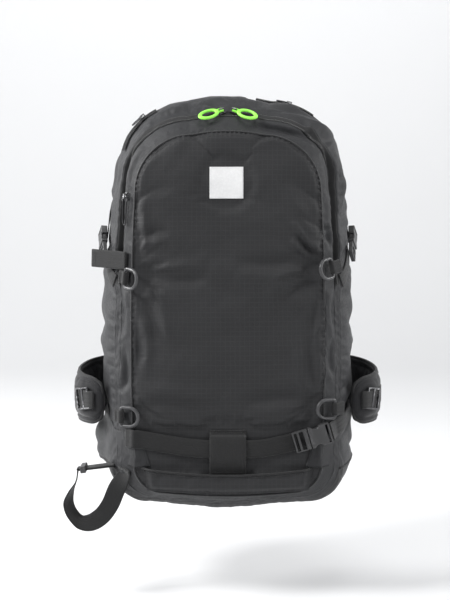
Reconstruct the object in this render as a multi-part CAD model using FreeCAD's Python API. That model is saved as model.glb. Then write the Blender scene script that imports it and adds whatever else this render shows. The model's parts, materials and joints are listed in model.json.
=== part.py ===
"""Avalanche airbag backpack, standing upright as it hangs by its shoulder straps.

Working frame, millimetres: +X to the right seen from the front panel, +Y from the front
panel to the wearer, +Z up, z = 0 at the lowest point of the body, y = 0 at the back of the
body. save() moves every node so that the origin is the shoulder yoke.
"""

import FreeCAD
import Part
import math
import os

from FreeCAD import Vector as V

# --- driving dimensions -----------------------------------------------------------------
BODY_TOP = 557.0
YOKE_Z = 520.0
WALL = 4.0
GAP = 0.3
WEB = 25.0
WEB_T = 1.8
LID_HINGE_Z = 372.0
TOP_SPLIT_Z = 455.0
BASE_SPLIT_Z = 45.0
ZIP_SETBACK = 15.0
ZIP_WIDTH = 8.0
RING_R = 2.5
RING_WIDE = 26.0
RING_DEEP = 26.0
TAB_WIDE = 18.0
WING_THICK = 9.0
STRAP_THICK = 11.0
BUCKLE_TRAVEL = 28.0

# Cross-sections of the body, front to back. Each lies in a plane that leans back a little:
# y at z = 0, y at z = BODY_TOP, half widths low, middle and high, bottom, top, top corner
# radius, rise of the top arch, bottom corner radius.
SECTIONS = [
    (-188.0, -157.5, 130.0, 133.0, 127.0, 10.0, 512.0, 78.0, 5.0, 40.0),
    (-172.0, -142.0, 147.0, 150.0, 141.0, 4.0, 533.0, 86.0, 6.0, 48.0),
    (-150.0, -120.0, 158.0, 164.0, 150.0, 1.0, 548.0, 94.0, 7.0, 52.0),
    (-105.0, -90.0, 166.0, 173.0, 156.0, 0.0, 557.0, 100.0, 8.0, 55.0),
    (-45.0, -40.0, 168.0, 175.0, 158.0, 2.0, 549.0, 98.0, 8.0, 52.0),
    (0.0, 0.0, 152.0, 158.0, 146.0, 14.0, 538.0, 92.0, 8.0, 45.0),
]
FRONT, ZIP_BACK = SECTIONS[0], SECTIONS[2]


# --- helpers ----------------------------------------------------------------------------
def lean(section, z, shift=0.0):
    """y of a section's plane at height z."""
    return section[0] + (section[1] - section[0]) * z / BODY_TOP + shift


def front_y(z):
    return lean(FRONT, z)


def arch_wire(section, inset=0.0, shift=0.0):
    """Closed arch outline of a section, drawn inside it by inset."""
    low, mid, high = (w - inset for w in section[2:5])
    bottom, top = section[5] + inset, section[6] - inset
    corner, rise, foot = section[7] - inset, section[8], section[9] - inset
    side_top, side_bottom = top - rise - corner, bottom + rise + foot
    s = math.sqrt(0.5)

    def p(x, z):
        return V(x, lean(section, z, shift), z)

    def arc(a, b, c):
        return Part.Arc(a, b, c).toShape()

    top_r, top_l = p(high - corner, top - rise), p(-high + corner, top - rise)
    shoulder_r, shoulder_l = p(high, side_top), p(-high, side_top)
    hip_r, hip_l = p(low, side_bottom), p(-low, side_bottom)
    foot_r, foot_l = p(low - foot, bottom + rise), p(-low + foot, bottom + rise)
    waist = (side_top + side_bottom) / 2
    corner_z, foot_z = side_top + corner * s, side_bottom - foot * s
    edges = [
        arc(foot_l, p(0, bottom), foot_r),
        arc(foot_r, p(low - foot + foot * s, foot_z), hip_r),
        arc(hip_r, p(mid, waist), shoulder_r),
        arc(shoulder_r, p(high - corner + corner * s, corner_z), top_r),
        arc(top_r, p(0, top), top_l),
        arc(top_l, p(-high + corner - corner * s, corner_z), shoulder_l),
        arc(shoulder_l, p(-mid, waist), hip_l),
        arc(hip_l, p(-low + foot - foot * s, foot_z), foot_l),
    ]
    return Part.Wire(edges)


def loft(wires, ruled=True):
    return Part.makeLoft(wires, True, ruled)


def polygon(points):
    return Part.Face(Part.makePolygon([*points, points[0]]))


def side_prism(outline, x0, x1):
    """Prism along X over an outline of (y, z) points."""
    return polygon([V(x0, y, z) for y, z in outline]).extrude(V(x1 - x0, 0, 0))


def box(x0, x1, y0, y1, z0, z1):
    return Part.makeBox(x1 - x0, y1 - y0, z1 - z0, V(x0, y0, z0))


def before(section, shift=0.0):
    """All space in front of a section's plane."""
    return side_prism([(-400, -100), (lean(section, -100, shift), -100),
                       (lean(section, 700, shift), 700), (-400, 700)], -300, 300)


def above(z):
    return box(-300, 300, -400, 200, z, 800)


def below(z):
    return box(-300, 300, -400, 200, -200, z)


def rounded(shape, radius, edges=None):
    """The shape with its edges rounded, or as it is where the rounding won't build."""
    try:
        done = shape.makeFillet(radius, edges or shape.Edges)
        return done if done.isValid() and done.Volume > 0 else shape
    except Exception:
        return shape


def unit(v):
    v = V(v)
    return v.normalize()


def ribbon(path, thickness, ruled=True):
    """Webbing or padding along a path of (point, width, width direction)."""
    points = [V(*p) for p, _, _ in path]
    wires = []
    for i, (_, width, across) in enumerate(path):
        ahead = points[min(i + 1, len(points) - 1)] - points[max(i - 1, 0)]
        tangent = unit(ahead)
        w = V(*across)
        w = unit(w - tangent * w.dot(tangent))
        n = tangent.cross(w)
        half_w, half_t = w * (width / 2), n * (thickness / 2)
        c = points[i]
        corners = [c - half_w - half_t, c + half_w - half_t,
                   c + half_w + half_t, c - half_w + half_t]
        wires.append(Part.makePolygon([*corners, corners[0]]))
    return loft(wires, ruled)


def placed(shape, origin, x_dir, z_dir):
    """A shape drawn in local axes, set at origin with its x and z along the two directions."""
    x = unit(V(*x_dir))
    z = V(*z_dir)
    z = unit(z - x * z.dot(x))
    y = z.cross(x)
    m = FreeCAD.Matrix(x.x, y.x, z.x, origin[0], x.y, y.y, z.y, origin[1],
                       x.z, y.z, z.z, origin[2], 0, 0, 0, 1)
    out = shape.copy()
    out.Placement = FreeCAD.Placement(m)
    return out


def placed_on_bar(shape, origin, x_dir, y_dir):
    """As placed(), but with the local y exact and the local x as near x_dir as it can be."""
    y = unit(V(*y_dir))
    x = V(*x_dir)
    x = unit(x - y * x.dot(y))
    z = x.cross(y)
    return placed(shape, origin, tuple(x), tuple(z))


def mirrored(shape):
    return shape.mirror(V(0, 0, 0), V(1, 0, 0))


def tube(points, radius):
    """Round bar along straight runs joined by tangent arcs, each as large as its runs allow."""
    pts = [V(*p) for p in points]
    edges, start = [], pts[0]
    for i in range(1, len(pts) - 1):
        a, b = pts[i - 1] - pts[i], pts[i + 1] - pts[i]
        reach = 0.45 * min(a.Length, b.Length)
        ua, ub = unit(a), unit(b)
        t0, t1 = pts[i] + ua * reach, pts[i] + ub * reach
        half = ua.getAngle(ub) / 2
        centre_dir = unit(ua + ub)
        bend = reach * math.tan(half)
        centre = pts[i] + centre_dir * (reach / math.cos(half))
        mid = centre - centre_dir * bend
        edges += [Part.LineSegment(start, t0).toShape(), Part.Arc(t0, mid, t1).toShape()]
        start = t1
    edges.append(Part.LineSegment(start, pts[-1]).toShape())
    path = Part.Wire(edges)
    circle = Part.Wire(Part.makeCircle(radius, pts[0], pts[1] - pts[0]))
    return path.makePipeShell([circle], True, False)


def grown(d):
    """The whole body as one solid, grown outwards by d all round but at the back."""
    wires = [arch_wire(s, -d, -d if s is FRONT else 0.0) for s in SECTIONS]
    return loft(wires)


BODY = grown(0.0)
SKIN = BODY.Shells[0]


def hover(point, clear):
    """The point that stands clear of the skin next to a given point, and the normal there."""
    p = V(*point)
    near = Part.Vertex(p).distToShape(SKIN)[1][0][1]
    n = p - near
    if BODY.isInside(p, 1e-6, True):
        n = n * -1
    n = unit(n)
    return near + n * clear, n


def hug(points, clear, width, step=9.0):
    """Ribbon path that lies flat on the skin past the given points."""
    fine = []
    pts = [V(*p) for p in points]
    for a, b in zip(pts, pts[1:]):
        count = max(1, int((b - a).Length / step))
        fine += [a + (b - a) * (i / count) for i in range(count)]
    fine.append(pts[-1])
    held = [hover(tuple(p), clear) for p in fine]
    path = []
    for i, (p, n) in enumerate(held):
        ahead = held[min(i + 1, len(held) - 1)][0] - held[max(i - 1, 0)][0]
        path.append((tuple(p), width, tuple(n.cross(unit(ahead)))))
    return path


# --- body shells --------------------------------------------------------------------------
def body_ring():
    """The whole wall round the body, open at the front seam and at the back."""
    outer = loft([arch_wire(s) for s in SECTIONS])
    inner = loft([arch_wire(s, WALL) for s in SECTIONS])
    return outer.cut(inner)


def front_plate():
    """The front panel, set inside the front seam."""
    face = Part.Face(arch_wire(FRONT, WALL + GAP))
    return face.extrude(V(0, WALL, 0))


def shells():
    ring, plate = body_ring(), front_plate()
    zip_shift = ZIP_SETBACK
    in_lid = before(FRONT, zip_shift - GAP / 2).common(above(LID_HINGE_Z + GAP / 2))
    in_track = before(FRONT, zip_shift + ZIP_WIDTH).cut(before(FRONT, zip_shift + GAP / 2))
    in_track = in_track.common(above(LID_HINGE_Z + GAP / 2))
    lid_reach = before(FRONT, zip_shift + ZIP_WIDTH).common(above(LID_HINGE_Z - GAP / 2))
    rest = ring.cut(lid_reach)
    middle = box(-300, 300, -400, 200, BASE_SPLIT_Z, TOP_SPLIT_Z)
    sides = rest.common(middle)
    back_face = Part.Face(arch_wire(SECTIONS[-1], WALL + GAP))
    back_wall = back_face.extrude(V(0, -WALL, 0))
    return {
        "lid_band": ring.common(in_lid),
        "lid_panel": plate.common(above(LID_HINGE_Z + GAP / 2)),
        "front_panel": plate.common(below(LID_HINGE_Z - GAP / 2)),
        "zip_track": ring.common(in_track),
        "gusset_top": rest.common(above(TOP_SPLIT_Z)),
        "base_panel": rest.common(below(BASE_SPLIT_Z)),
        "gusset_left": sides.common(box(-300, 0, -400, 200, -50, 700)),
        "gusset_right": sides.common(box(0, 300, -400, 200, -50, 700)),
        "back_wall": back_wall,
    }


def back_pad():
    """Moulded foam back pad with a spine channel and two cross channels."""
    section = (0, 0, 132.0, 136.0, 120.0, 40.0, 522.0, 70.0, 6.0, 45.0)
    pad = Part.Face(arch_wire(section, 0)).extrude(V(0, 12.0, 0))
    pad.translate(V(0, GAP, 0))
    channels = [box(-9, 9, 6, 20, 20, 560)]
    channels += [side_prism([(8, z), (20, z - 6), (20, z + 6)], -200, 200) for z in (190, 360)]
    for channel in channels:
        pad = pad.cut(channel)
    return pad


def base_pocket():
    """Storage pocket sewn low on the front, its mouth a shallow smile."""
    z_low, z_mid, z_side, half, deep = 13.0, 40.0, 49.0, 118.0, 11.0

    def p(x, z):
        return V(x, front_y(z) - GAP, z)

    edges = [
        Part.Arc(p(-half + 6, z_low + 5), p(0, z_low), p(half - 6, z_low + 5)).toShape(),
        Part.LineSegment(p(half - 6, z_low + 5), p(half, z_side)).toShape(),
        Part.Arc(p(half, z_side), p(0, z_mid), p(-half, z_side)).toShape(),
        Part.LineSegment(p(-half, z_side), p(-half + 6, z_low + 5)).toShape(),
    ]
    solid = Part.Face(Part.Wire(edges)).extrude(V(0, -deep, 0))
    return rounded(solid, 3.0, [e for e in solid.Edges
                                if all(v.Point.y < front_y(30) - deep / 2 for v in e.Vertexes)])


def compression_wings():
    """Triangular fabric wings that spread the lower strap's pull over the side seams."""
    skin = grown(1.9).cut(grown(0.5))
    outline = [(-260, 50), (-150, 50), (-104, 64), (-104, 130), (-150, 108), (-172, 100), (-260, 98)]
    right = skin.common(side_prism(outline, 100, 300))
    corner = [V(0, -260, 0), V(107, -260, 50), V(121, -260, 100), V(121, -260, 200), V(0, -260, 200)]
    corner[0] = V(107, -260, 0)
    corner = [V(0, -260, 0), *corner]
    right = right.cut(polygon(corner).extrude(V(0, 120, 0)))
    return Part.makeCompound([right, mirrored(right)])


# --- webbing on the front --------------------------------------------------------------------
STRAP_PATH = [  # x, z and distance in front of the panel, from the left side to the buckle
    (-118, 89, 4.8), (-90, 84.0, 5.0), (-55, 79, 6.5), (-20, 76.5, 7.4), (20, 76.5, 7.4),
    (42, 77.0, 6.4), (58, 78.8, 3.8), (78, 83, 3.6), (98, 88, 3.6),
]
BUCKLE_C = (112.0, 0.0, 92.0)
BUCKLE_DIR = (0.955, 0.10, 0.28)


def front_strap():
    left = hug([(-145, -184, 91), (-131, -192, 90.5)], 5.2, WEB)
    left += [((x, front_y(z) - out, z), WEB, (0, 0, 1)) for x, z, out in STRAP_PATH]
    right = [((143.0, -189.0, 100.5), WEB, (-0.28, 0, 0.955))]
    right += hug([(154, -176, 103), (163, -150, 109), (170, -118, 117)], 3.8, WEB)
    return Part.makeCompound([ribbon(left, WEB_T), ribbon(right, WEB_T)])


def keeper_loop():
    """Wide webbing keeper sewn above and below, bridging over the strap."""
    half, z_low, z_high = 25.0, 42.0, 101.0
    inner = [(z_low, 0.6), (z_low + 6, 0.6), (z_low + 9, 9.6), (z_high - 10, 9.6),
             (z_high - 7, 0.6), (z_high, 0.6)]
    near = [(front_y(z) - d, z) for z, d in inner]
    far = [(front_y(z) - d - WEB_T, z) for z, d in reversed(inner)]
    return side_prism(near + far, -half, half)


LOOP_FAR = ((-209.0, -150.5, 40.5), (-158.5, -152.5, 47.0))


def ski_loop():
    """Diagonal ski-carry loop: the near leg hangs face on, turns over and comes back."""
    near = hug([(-146, -175, 46), (-148, -174, 36)], 1.6, WEB)
    near += [
        ((-155, -175, 16), 25, (0.93, -0.12, -0.34)), ((-164, -174, -5), 25, (0.92, 0, -0.38)),
        ((-176, -172, -22), 25, (0.82, -0.12, -0.56)), ((-191, -169, -32), 25, (0.50, -0.48, -0.72)),
        ((-207, -165, -32), 25, (0.08, -0.78, -0.62)), ((-219, -161, -21), 25, (-0.36, -0.86, -0.36)),
        ((-224, -158, -7), 25, (-0.50, -0.86, 0.0)), ((-220, -155, 9), 24, (-0.25, -0.96, 0.10)),
        ((-213, -152, 24), 22, (0.06, -0.99, 0.12)), ((-209, -150.6, 38.5), 22, (0.0, -1.0, 0.08)),
    ]
    a, b = LOOP_FAR
    far = [(a, 22, (0, -1, 0)), (b, 22, (0, -1, 0))]
    return ribbon(near, WEB_T).fuse(ribbon(far, 3.4))


def ski_loop_slider():
    """Ring that keeps the loop's doubled webbing together and slides along it."""
    ring = rounded(box(-4, 4, -13.6, 13.6, -4.8, 4.8), 1.4).cut(box(-5, 5, -11.5, 11.5, -2.1, 2.1))
    a, b = V(*LOOP_FAR[0]), V(*LOOP_FAR[1])
    along = unit(b - a)
    normal = along.cross(V(0, -1, 0))
    return placed(ring, tuple(a + along * 7.0), tuple(along), tuple(normal))


def ladder_frame(width, length, thick, window):
    """Three-bar slider: a rounded frame with two windows and a middle bar."""
    half_w, half_l = width / 2, length / 2
    frame = rounded(box(-half_l, half_l, -half_w, half_w, -thick / 2, thick / 2), 1.2)
    rail, bar = (width - window) / 2, 3.2
    open_l = (length - 2 * 2.4 - bar) / 2
    for sign in (-1, 1):
        mid = sign * (bar / 2 + open_l / 2)
        frame = frame.cut(box(mid - open_l / 2, mid + open_l / 2, -half_w + rail, half_w - rail,
                              -thick, thick))
    return frame


# --- D rings ---------------------------------------------------------------------------------
RINGS = {  # name: (bar centre, direction the ring points, bar direction)
    "ring_upper_left": ((-141.0, -171.5, 312.0), (0.62, -0.76, -0.15), (0.10, 0.0, 1.0)),
    "ring_upper_right": ((143.0, -170.5, 326.0), (-0.62, -0.76, -0.15), (-0.18, 0.0, 1.0)),
    "ring_lower_left": ((-147.8, -178.6, 120.0), (0.93, -0.36, 0.0), (0.0, 0.0, 1.0)),
    "ring_lower_right": ((147.8, -178.6, 131.0), (-0.93, -0.36, 0.0), (0.0, 0.0, 1.0)),
}
TAB_DIR = {-1: (0.72, -0.69, 0.0), 1: (-0.72, -0.69, 0.0)}


def ring_shape():
    """D ring in local axes: bar along y through the origin, bow towards +x."""
    half, deep, r = RING_WIDE / 2, RING_DEEP, 4.0
    s = math.sqrt(0.5)

    def p(x, y):
        return V(x, y, 0)

    edges = [
        Part.LineSegment(p(0, 0), p(0, half - r)).toShape(),
        Part.Arc(p(0, half - r), p(r - r * s, half - r + r * s), p(r, half)).toShape(),
        Part.LineSegment(p(r, half), p(deep - half, half)).toShape(),
        Part.Arc(p(deep - half, half), p(deep, 0), p(deep - half, -half)).toShape(),
        Part.LineSegment(p(deep - half, -half), p(r, -half)).toShape(),
        Part.Arc(p(r, -half), p(r - r * s, -half + r - r * s), p(0, -half + r)).toShape(),
        Part.LineSegment(p(0, -half + r), p(0, 0)).toShape(),
    ]
    circle = Part.Wire(Part.makeCircle(RING_R, V(0, 0, 0), V(0, 1, 0)))
    return Part.Wire(edges).makePipeShell([circle], True, False)


def tab_shape(reach):
    """Folded webbing tab round the ring's bar: local bar along y, sewn end at -x."""
    inner, outer = RING_R + 0.35, RING_R + 0.35 + WEB_T
    half = TAB_WIDE / 2
    eye = Part.makeCylinder(outer, TAB_WIDE, V(0, -half, 0), V(0, 1, 0))
    eye = eye.fuse(box(-reach, -1.5, -half, half, -outer, -outer + 2 * WEB_T))
    eye = eye.cut(Part.makeCylinder(inner, TAB_WIDE + 2, V(0, -half - 1, 0), V(0, 1, 0)))
    return eye


def rings_and_tabs():
    rings, tabs = {}, []
    for name, (centre, out, bar) in RINGS.items():
        side = -1 if centre[0] < 0 else 1
        rings[name] = placed_on_bar(ring_shape(), centre, out, bar)
        tabs.append(placed_on_bar(tab_shape(13.0), centre, TAB_DIR[side], bar))
    return rings, Part.makeCompound(tabs)


# --- side-release buckles -----------------------------------------------------------------------
def buckle_socket(k=1.0):
    """Local axes: x from plug to socket, y across, z out of the face."""
    half = 14.6
    body = box(0.6, 31, -half, half, -5.2, 5.2)
    for s in (-1, 1):  # waisted sides that let fingers reach the prongs
        body = body.cut(Part.makeCylinder(7.0, 20, V(11, s * (half + 3.6), -10)))
    body = rounded(body, 1.4)
    body = body.cut(box(-1, 24, -12.2, 12.2, -3.0, 3.0))
    for s in (-1, 1):
        body = body.cut(box(7, 16, min(s * 11, s * 20), max(s * 11, s * 20), -3.0, 3.0))
    body = body.cut(box(25.2, 28.2, -12.8, 12.8, -10, 10))
    body.scale(k)
    return body


def buckle_plug(k=1.0):
    half = 14.6
    body = rounded(box(-22, 0, -half, half, -3.4, 3.4), 1.2)
    body = body.cut(box(-20, -15.6, -12.8, 12.8, -10, 10))
    body = body.cut(box(-12.6, -6.4, -12.8, 12.8, -10, 10))
    for s in (-1, 1):
        outline = [(-1, 6.2), (-1, 10.6), (9, 11.5), (15.5, 11.8), (21, 8.6), (21, 5.8), (9, 6.8)]
        prong = polygon([V(x, s * y, -2.4) for x, y in outline]).extrude(V(0, 0, 4.8))
        body = body.fuse(prong)
    body = body.fuse(box(-1, 20, -1.8, 1.8, -2.0, 2.0))
    body.scale(k)
    return body


SIDE_BUCKLE_K = 0.86


def side_buckle_frame(side):
    """Centre, direction and outward normal of an upper side buckle."""
    centre, normal = hover((side * 180, -100, 350), 8.6)
    return tuple(centre), (side * -0.06, 0.62, 0.78), tuple(normal)


def side_straps():
    """Upper compression straps; each end runs under its buckle half, flat on the side."""
    out = []
    for side in (-1, 1):
        centre, along, normal = side_buckle_frame(side)
        c, n = V(*centre), V(*normal)
        a = V(*along)
        a = unit(a - n * a.dot(n))
        low, high = c - a * 11.0, c + a * 21.0
        forward = hug([(side * 157, -150, 305), (side * 167, -132, 317), tuple(low)], 2.6, 20)
        rear = hug([tuple(high), (side * 172, -52, 392), (side * 168, -22, 412)], 2.6, 20)
        out += [ribbon(forward, 1.5), ribbon(rear, 1.5)]
    return Part.makeCompound(out)


def strap_keeper():
    """Folded end of the left side webbing, sewn at the seam and sticking out to the side."""
    start, n = hover((-141.5, -166, 335), 3.4)
    out = V(-0.737, 0.676, 0)
    ends = [start - out * 2.0, start + out * 34.0, start + out * 64.0]
    path = [(tuple(p + n * lift), WEB, (0, 0, 1)) for p, lift in zip(ends, (0, 1.2, 2.4))]
    return ribbon(path, 4.0)


def hip_wing(side):
    """Padded hip-belt wing, folded forward round the side of the pack."""
    path = [((152, 9.5, 136), 82), ((176, 5, 136), 80), ((200, -14, 135), 76),
            ((212, -46, 134), 72), ((213, -80, 134), 69), ((205, -108, 134), 66),
            ((191, -128, 134), 64), ((176, -139, 134), 60)]
    return ribbon([((side * x, y, z), w, (0, 0, 1)) for (x, y, z), w in path], WING_THICK)


def hip_hardware(side):
    """Slider on the wing's face, the belt webbing, and the buckle half stowed behind it."""
    normal = (side * 0.72, -0.69, 0.0)
    along = (side * -0.68, -0.71, 0.18)
    centre = (side * 204.5, -126.5, 136.0)
    slider = placed(ladder_frame(31.0, 27.0, 3.6, 26.0), centre, along, normal)
    outer = ribbon([((side * 219.8, -80, 136), WEB, (0, 0, 1)),
                    ((side * 217.0, -97, 136), WEB, (0, 0, 1)),
                    ((side * 211.8, -111.5, 136), WEB, (0, 0, 1))], WEB_T)
    inner = ribbon([((side * 184.5, -121, 132), WEB, (0, 0, 1)),
                    ((side * 191.5, -108, 133), WEB, (0, 0, 1)),
                    ((side * 196.5, -95, 134), WEB, (0, 0, 1))], WEB_T)
    half = buckle_socket(1.1) if side < 0 else buckle_plug(1.1)
    at = -60.0 if side > 0 else -56.5
    half = placed(half, (side * 196.0, at - (0 if side > 0 else 34.0), 134.0),
                  (0, 1 if side > 0 else 1, 0.0), (side, 0, 0))
    return slider, Part.makeCompound([outer, inner]), half


# --- shoulder harness -----------------------------------------------------------------------------
def shoulder_path(side):
    rows = [(58, 19.5, 512, 54), (59, 31, 521, 56), (62, 46, 512, 58), (66, 55, 480, 60),
            (74, 58, 430, 62), (86, 57, 370, 62), (97, 51, 310, 60), (106, 42, 250, 52),
            (111, 34, 205, 40)]
    return [((side * x, y, z), w, (1, 0, 0)) for x, y, z, w in rows]


def shoulder_strap(side):
    return ribbon(shoulder_path(side), STRAP_THICK)


def back_webbing():
    """Haul loop, load lifters and the lower ends of the shoulder straps' webbing."""
    out = []
    for side in (-1, 1):
        out.append(ribbon([((side * 114, 29.5, 176), 20, (1, 0, 0)),
                           ((side * 122, 21, 120), 20, (1, 0, 0)),
                           ((side * 130, 14.6, 62), 20, (1, 0, 0))], WEB_T))
        foot, _ = hover((side * 70, -16, 560), 1.5)
        out.append(ribbon([((side * 64, 34, 536.5), 18, (1, 0, 0)),
                           ((side * 65, 20, 539.5), 18, (1, 0, 0)),
                           ((side * 67, 5, 541.8), 18, (1, 0, 0)),
                           (tuple(foot), 18, (1, 0, 0))], 1.5))
    loop = []
    for i in range(11):
        t = math.pi * i / 10
        loop.append(((-25 * math.cos(t), 3 + 20 * math.sin(t), 533 + 0.5 * math.sin(t)), 18,
                     (0, -0.2, 1)))
    out.append(ribbon(loop, 3.0))
    return Part.makeCompound(out)


def ladder_locks():
    out = []
    for side in (-1, 1):
        frame = ladder_frame(27.0, 24.0, 4.0, 21.5)
        out.append(placed(frame, (side * 113.0, 31.5, 190.0), (side * 0.1, -0.17, -0.98), (0, 1, 0)))
    return Part.makeCompound(out)


STERNUM_Z, STERNUM_Y = 400.0, 68.5


def sternum_straps():
    y, z = STERNUM_Y, STERNUM_Z
    left = ribbon([((-71, y - 0.5, z), 20, (0, 0, 1)), ((-25.6, y + 1, z), 20, (0, 0, 1))], 1.5)
    right = ribbon([((12, y - 2.9, z), 20, (0, 0, 1)), ((71, y - 2.9, z), 20, (0, 0, 1))], 1.5)
    clips = [rounded(box(s * 78 - 9, s * 78 + 9, y - 4.0, y + 2.5, z - 13, z + 13), 1.5)
             for s in (-1, 1)]
    return Part.makeCompound([left.cut(clips[0]), right.cut(clips[1]), *clips])


TRIGGER_AT = (-93.5, 65.0, 352.0)


def trigger_turn(shape):
    """Turn a shape drawn upright so that it lies along the left shoulder strap."""
    origin = V(*TRIGGER_AT)
    shape.rotate(origin, V(1, 0, 0), -7.2)
    shape.rotate(origin, V(0, 1, 0), 9.5)
    return shape


def trigger():
    """Sleeve on the left strap and the T handle that pulls down out of it."""
    x, y, z = TRIGGER_AT
    sleeve = rounded(box(x - 20, x + 20, y - 1.5, y + 7, z - 80, z), 2.5)
    sleeve = sleeve.cut(box(x - 7.5, x + 7.5, y, y + 5.6, z - 90, z - 7))
    stem = rounded(box(x - 6.5, x + 6.5, y + 0.5, y + 5.0, z - 86, z - 14), 1.5)
    grip = rounded(box(x - 29, x + 29, y - 1.5, y + 7.5, z - 101, z - 82), 4.0)
    return trigger_turn(sleeve), trigger_turn(stem.fuse(grip))


# --- zips ----------------------------------------------------------------------------------------------
def zip_slider():
    """Local axes: x along the zip, y across it, z out of the fabric."""
    wedge = rounded(box(-5.5, 5.5, -3.4, 3.4, 0.0, 3.2), 0.9)
    bridge = rounded(box(-3.6, 3.6, -1.3, 1.3, 3.0, 7.8), 0.7)
    return wedge.fuse(bridge.cut(box(-2.0, 2.0, -3, 3, 3.8, 6.6)))


def zip_pull():
    """Moulded loop pull: its pin lies in the slider's bridge, the loop reaches towards +x."""
    ring = Part.makeTorus(9.0, 2.1, V(0, 0, 0), V(0, 0, 1))
    m = FreeCAD.Matrix(1.42, 0, 0, 0, 0, 0.88, 0, 0, 0, 0, 1.0, 0, 0, 0, 0, 1)
    ring = ring.transformGeometry(m)
    ring.translate(V(20.5, 0, 0))
    pin = Part.makeCylinder(1.0, 6.0, V(0, -3, 0), V(0, 1, 0))
    arms = [box(-1.6, 7.0, min(s * 1.7, s * 3.2), max(s * 1.7, s * 3.2), -1.1, 1.1) for s in (-1, 1)]
    return ring.fuse([pin, *arms])


SLIDER_X = 8.5
PIN_UP = 5.2


def zip_top(x):
    """Point and normal on the skin above the zip, x to the side of the top's middle."""
    z = 533.0
    return hover((x, lean(FRONT, z, ZIP_SETBACK + 4.0), z + 6.0), 0.35)


def main_sliders():
    out = {}
    for name, side in (("left", -1), ("right", 1)):
        base, n = zip_top(side * SLIDER_X)
        x = V(side, -0.45, -0.34)
        x = unit(x - n * x.dot(n))
        out["zip_slider_" + name] = placed(zip_slider(), tuple(base), tuple(x), tuple(n))
        pin = base + n * PIN_UP
        out["zip_pull_" + name] = placed(zip_pull(), tuple(pin), tuple(x), tuple(n))
    return out


SMALL_SLIDERS = {  # name: (a point by its base, direction of its pull, length of the pull)
    "goggle_slider": ((88.0, -84.0, 556.0), (-0.97, 0.0, 0.22), 13.0),
    "shoulder_slider": ((-120.0, -98.0, 532.0), (-0.62, 0.0, -0.79), 14.0),
    "side_slider": ((-150.0, -166.0, 424.0), (0.04, 0.0, -1.0), 34.0),
}


def small_slider(near, along, length):
    base, normal = hover(near, 0.35)
    along = V(*along) - normal * V(*along).dot(normal)
    base, along, normal = tuple(base), tuple(along), tuple(normal)
    body = zip_slider()
    loop = tube([(0.0, -4.2, 5.2), (length * 0.5, -3.2, 5.0), (length, -3.2, 4.4),
                 (length + 7, 0.0, 4.0), (length, 3.2, 4.4), (length * 0.5, 3.2, 5.0),
                 (0.0, 4.2, 5.2)], 0.9)
    loop = loop.fuse(Part.makeCylinder(0.9, 8.4, V(0, -4.2, 5.2), V(0, 1, 0)))
    return Part.makeCompound([placed(body, base, along, normal), placed(loop, base, along, normal)])


# --- airbag system --------------------------------------------------------------------------------------
FAN_C = V(0, -62, 400)
FAN_R, FAN_DEEP = 58.0, 46.0


def airbag_pack():
    """The airbag folded into its arched sleeve at the top and sides of the body."""
    path = [((-138, -38, 250), 34, (0, 1, 0)), ((-139, -38, 330), 36, (0, 1, 0)),
            ((-132, -38, 415), 38, (0, 1, 0)), ((-116, -38, 474), 38, (0, 1, 0)),
            ((-84, -38, 508), 38, (0, 1, 0)), ((-40, -38, 522), 38, (0, 1, 0)),
            ((0, -38, 525), 38, (0, 1, 0))]
    path += [((-x, y, z), w, d) for (x, y, z), w, d in reversed(path[:-1])]
    return ribbon(path, 22.0)


def fan_housing():
    axis = V(0, 1, 0)
    start = FAN_C - axis * (FAN_DEEP / 2)
    shell = Part.makeCylinder(FAN_R, FAN_DEEP, start, axis)
    shell = shell.cut(Part.makeCylinder(FAN_R - 3, FAN_DEEP - 6, start + axis * 3, axis))
    inlet = Part.makeCylinder(22, 5, start - axis, axis)
    outlet = box(20, FAN_R - 1, FAN_C.y - 14, FAN_C.y + 14, FAN_C.z, FAN_C.z + 78)
    shell = shell.cut(inlet)
    throat = box(23, FAN_R - 4, FAN_C.y - 11, FAN_C.y + 11, FAN_C.z + 20, FAN_C.z + 90)
    scroll = outlet.cut(Part.makeCylinder(FAN_R - 1, FAN_DEEP, start, axis))
    return shell.fuse(scroll).cut(throat)


def impeller():
    axis = V(0, 1, 0)
    back = FAN_C + axis * 12
    disc = Part.makeCylinder(46, 2.5, back, axis)
    hub = Part.makeCylinder(10, 24, FAN_C - axis * 10, axis)
    wheel = disc.fuse(hub)
    for i in range(11):
        blade = box(19, 44, FAN_C.y - 14, FAN_C.y + 13, FAN_C.z - 1, FAN_C.z + 1)
        blade.rotate(V(30, FAN_C.y, FAN_C.z), axis, 32)
        blade.rotate(FAN_C, axis, 360 / 11 * i)
        wheel = wheel.fuse(blade)
    return wheel.fuse(Part.makeCylinder(45, 2.0, FAN_C - axis * 14, axis).cut(
        Part.makeCylinder(30, 6, FAN_C - axis * 16, axis)))


def capacitor_pack():
    tray = rounded(box(-62, 62, -84, -40, 286, 292), 2)
    cells = [Part.makeCylinder(9, 34, V(-50 + 20 * i, y, 292.2)) for i in range(6) for y in (-72, -52)]
    return Part.makeCompound([tray, *cells])


def battery_case():
    case = rounded(box(-40, 40, -82, -46, 240, 272), 3)
    return case.cut(box(-36, 36, -78, -50, 244, 276))


def air_duct():
    """Duct from the fan's outlet to the airbag, with a flap-valve ring at its end."""
    outer = box(21, 56, -77, -47, FAN_C.z + 78.4, FAN_C.z + 100)
    inner = box(24, 53, -74, -50, FAN_C.z + 70, FAN_C.z + 120)
    return rounded(outer, 1.5).cut(inner)


def frame_sheet():
    section = (0, 0, 122.0, 126.0, 112.0, 50.0, 500.0, 60.0, 5.0, 35.0)
    sheet = Part.Face(arch_wire(section)).extrude(V(0, 1.6, 0))
    sheet.translate(V(0, -WALL - 2.4, 0))
    return sheet


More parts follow.
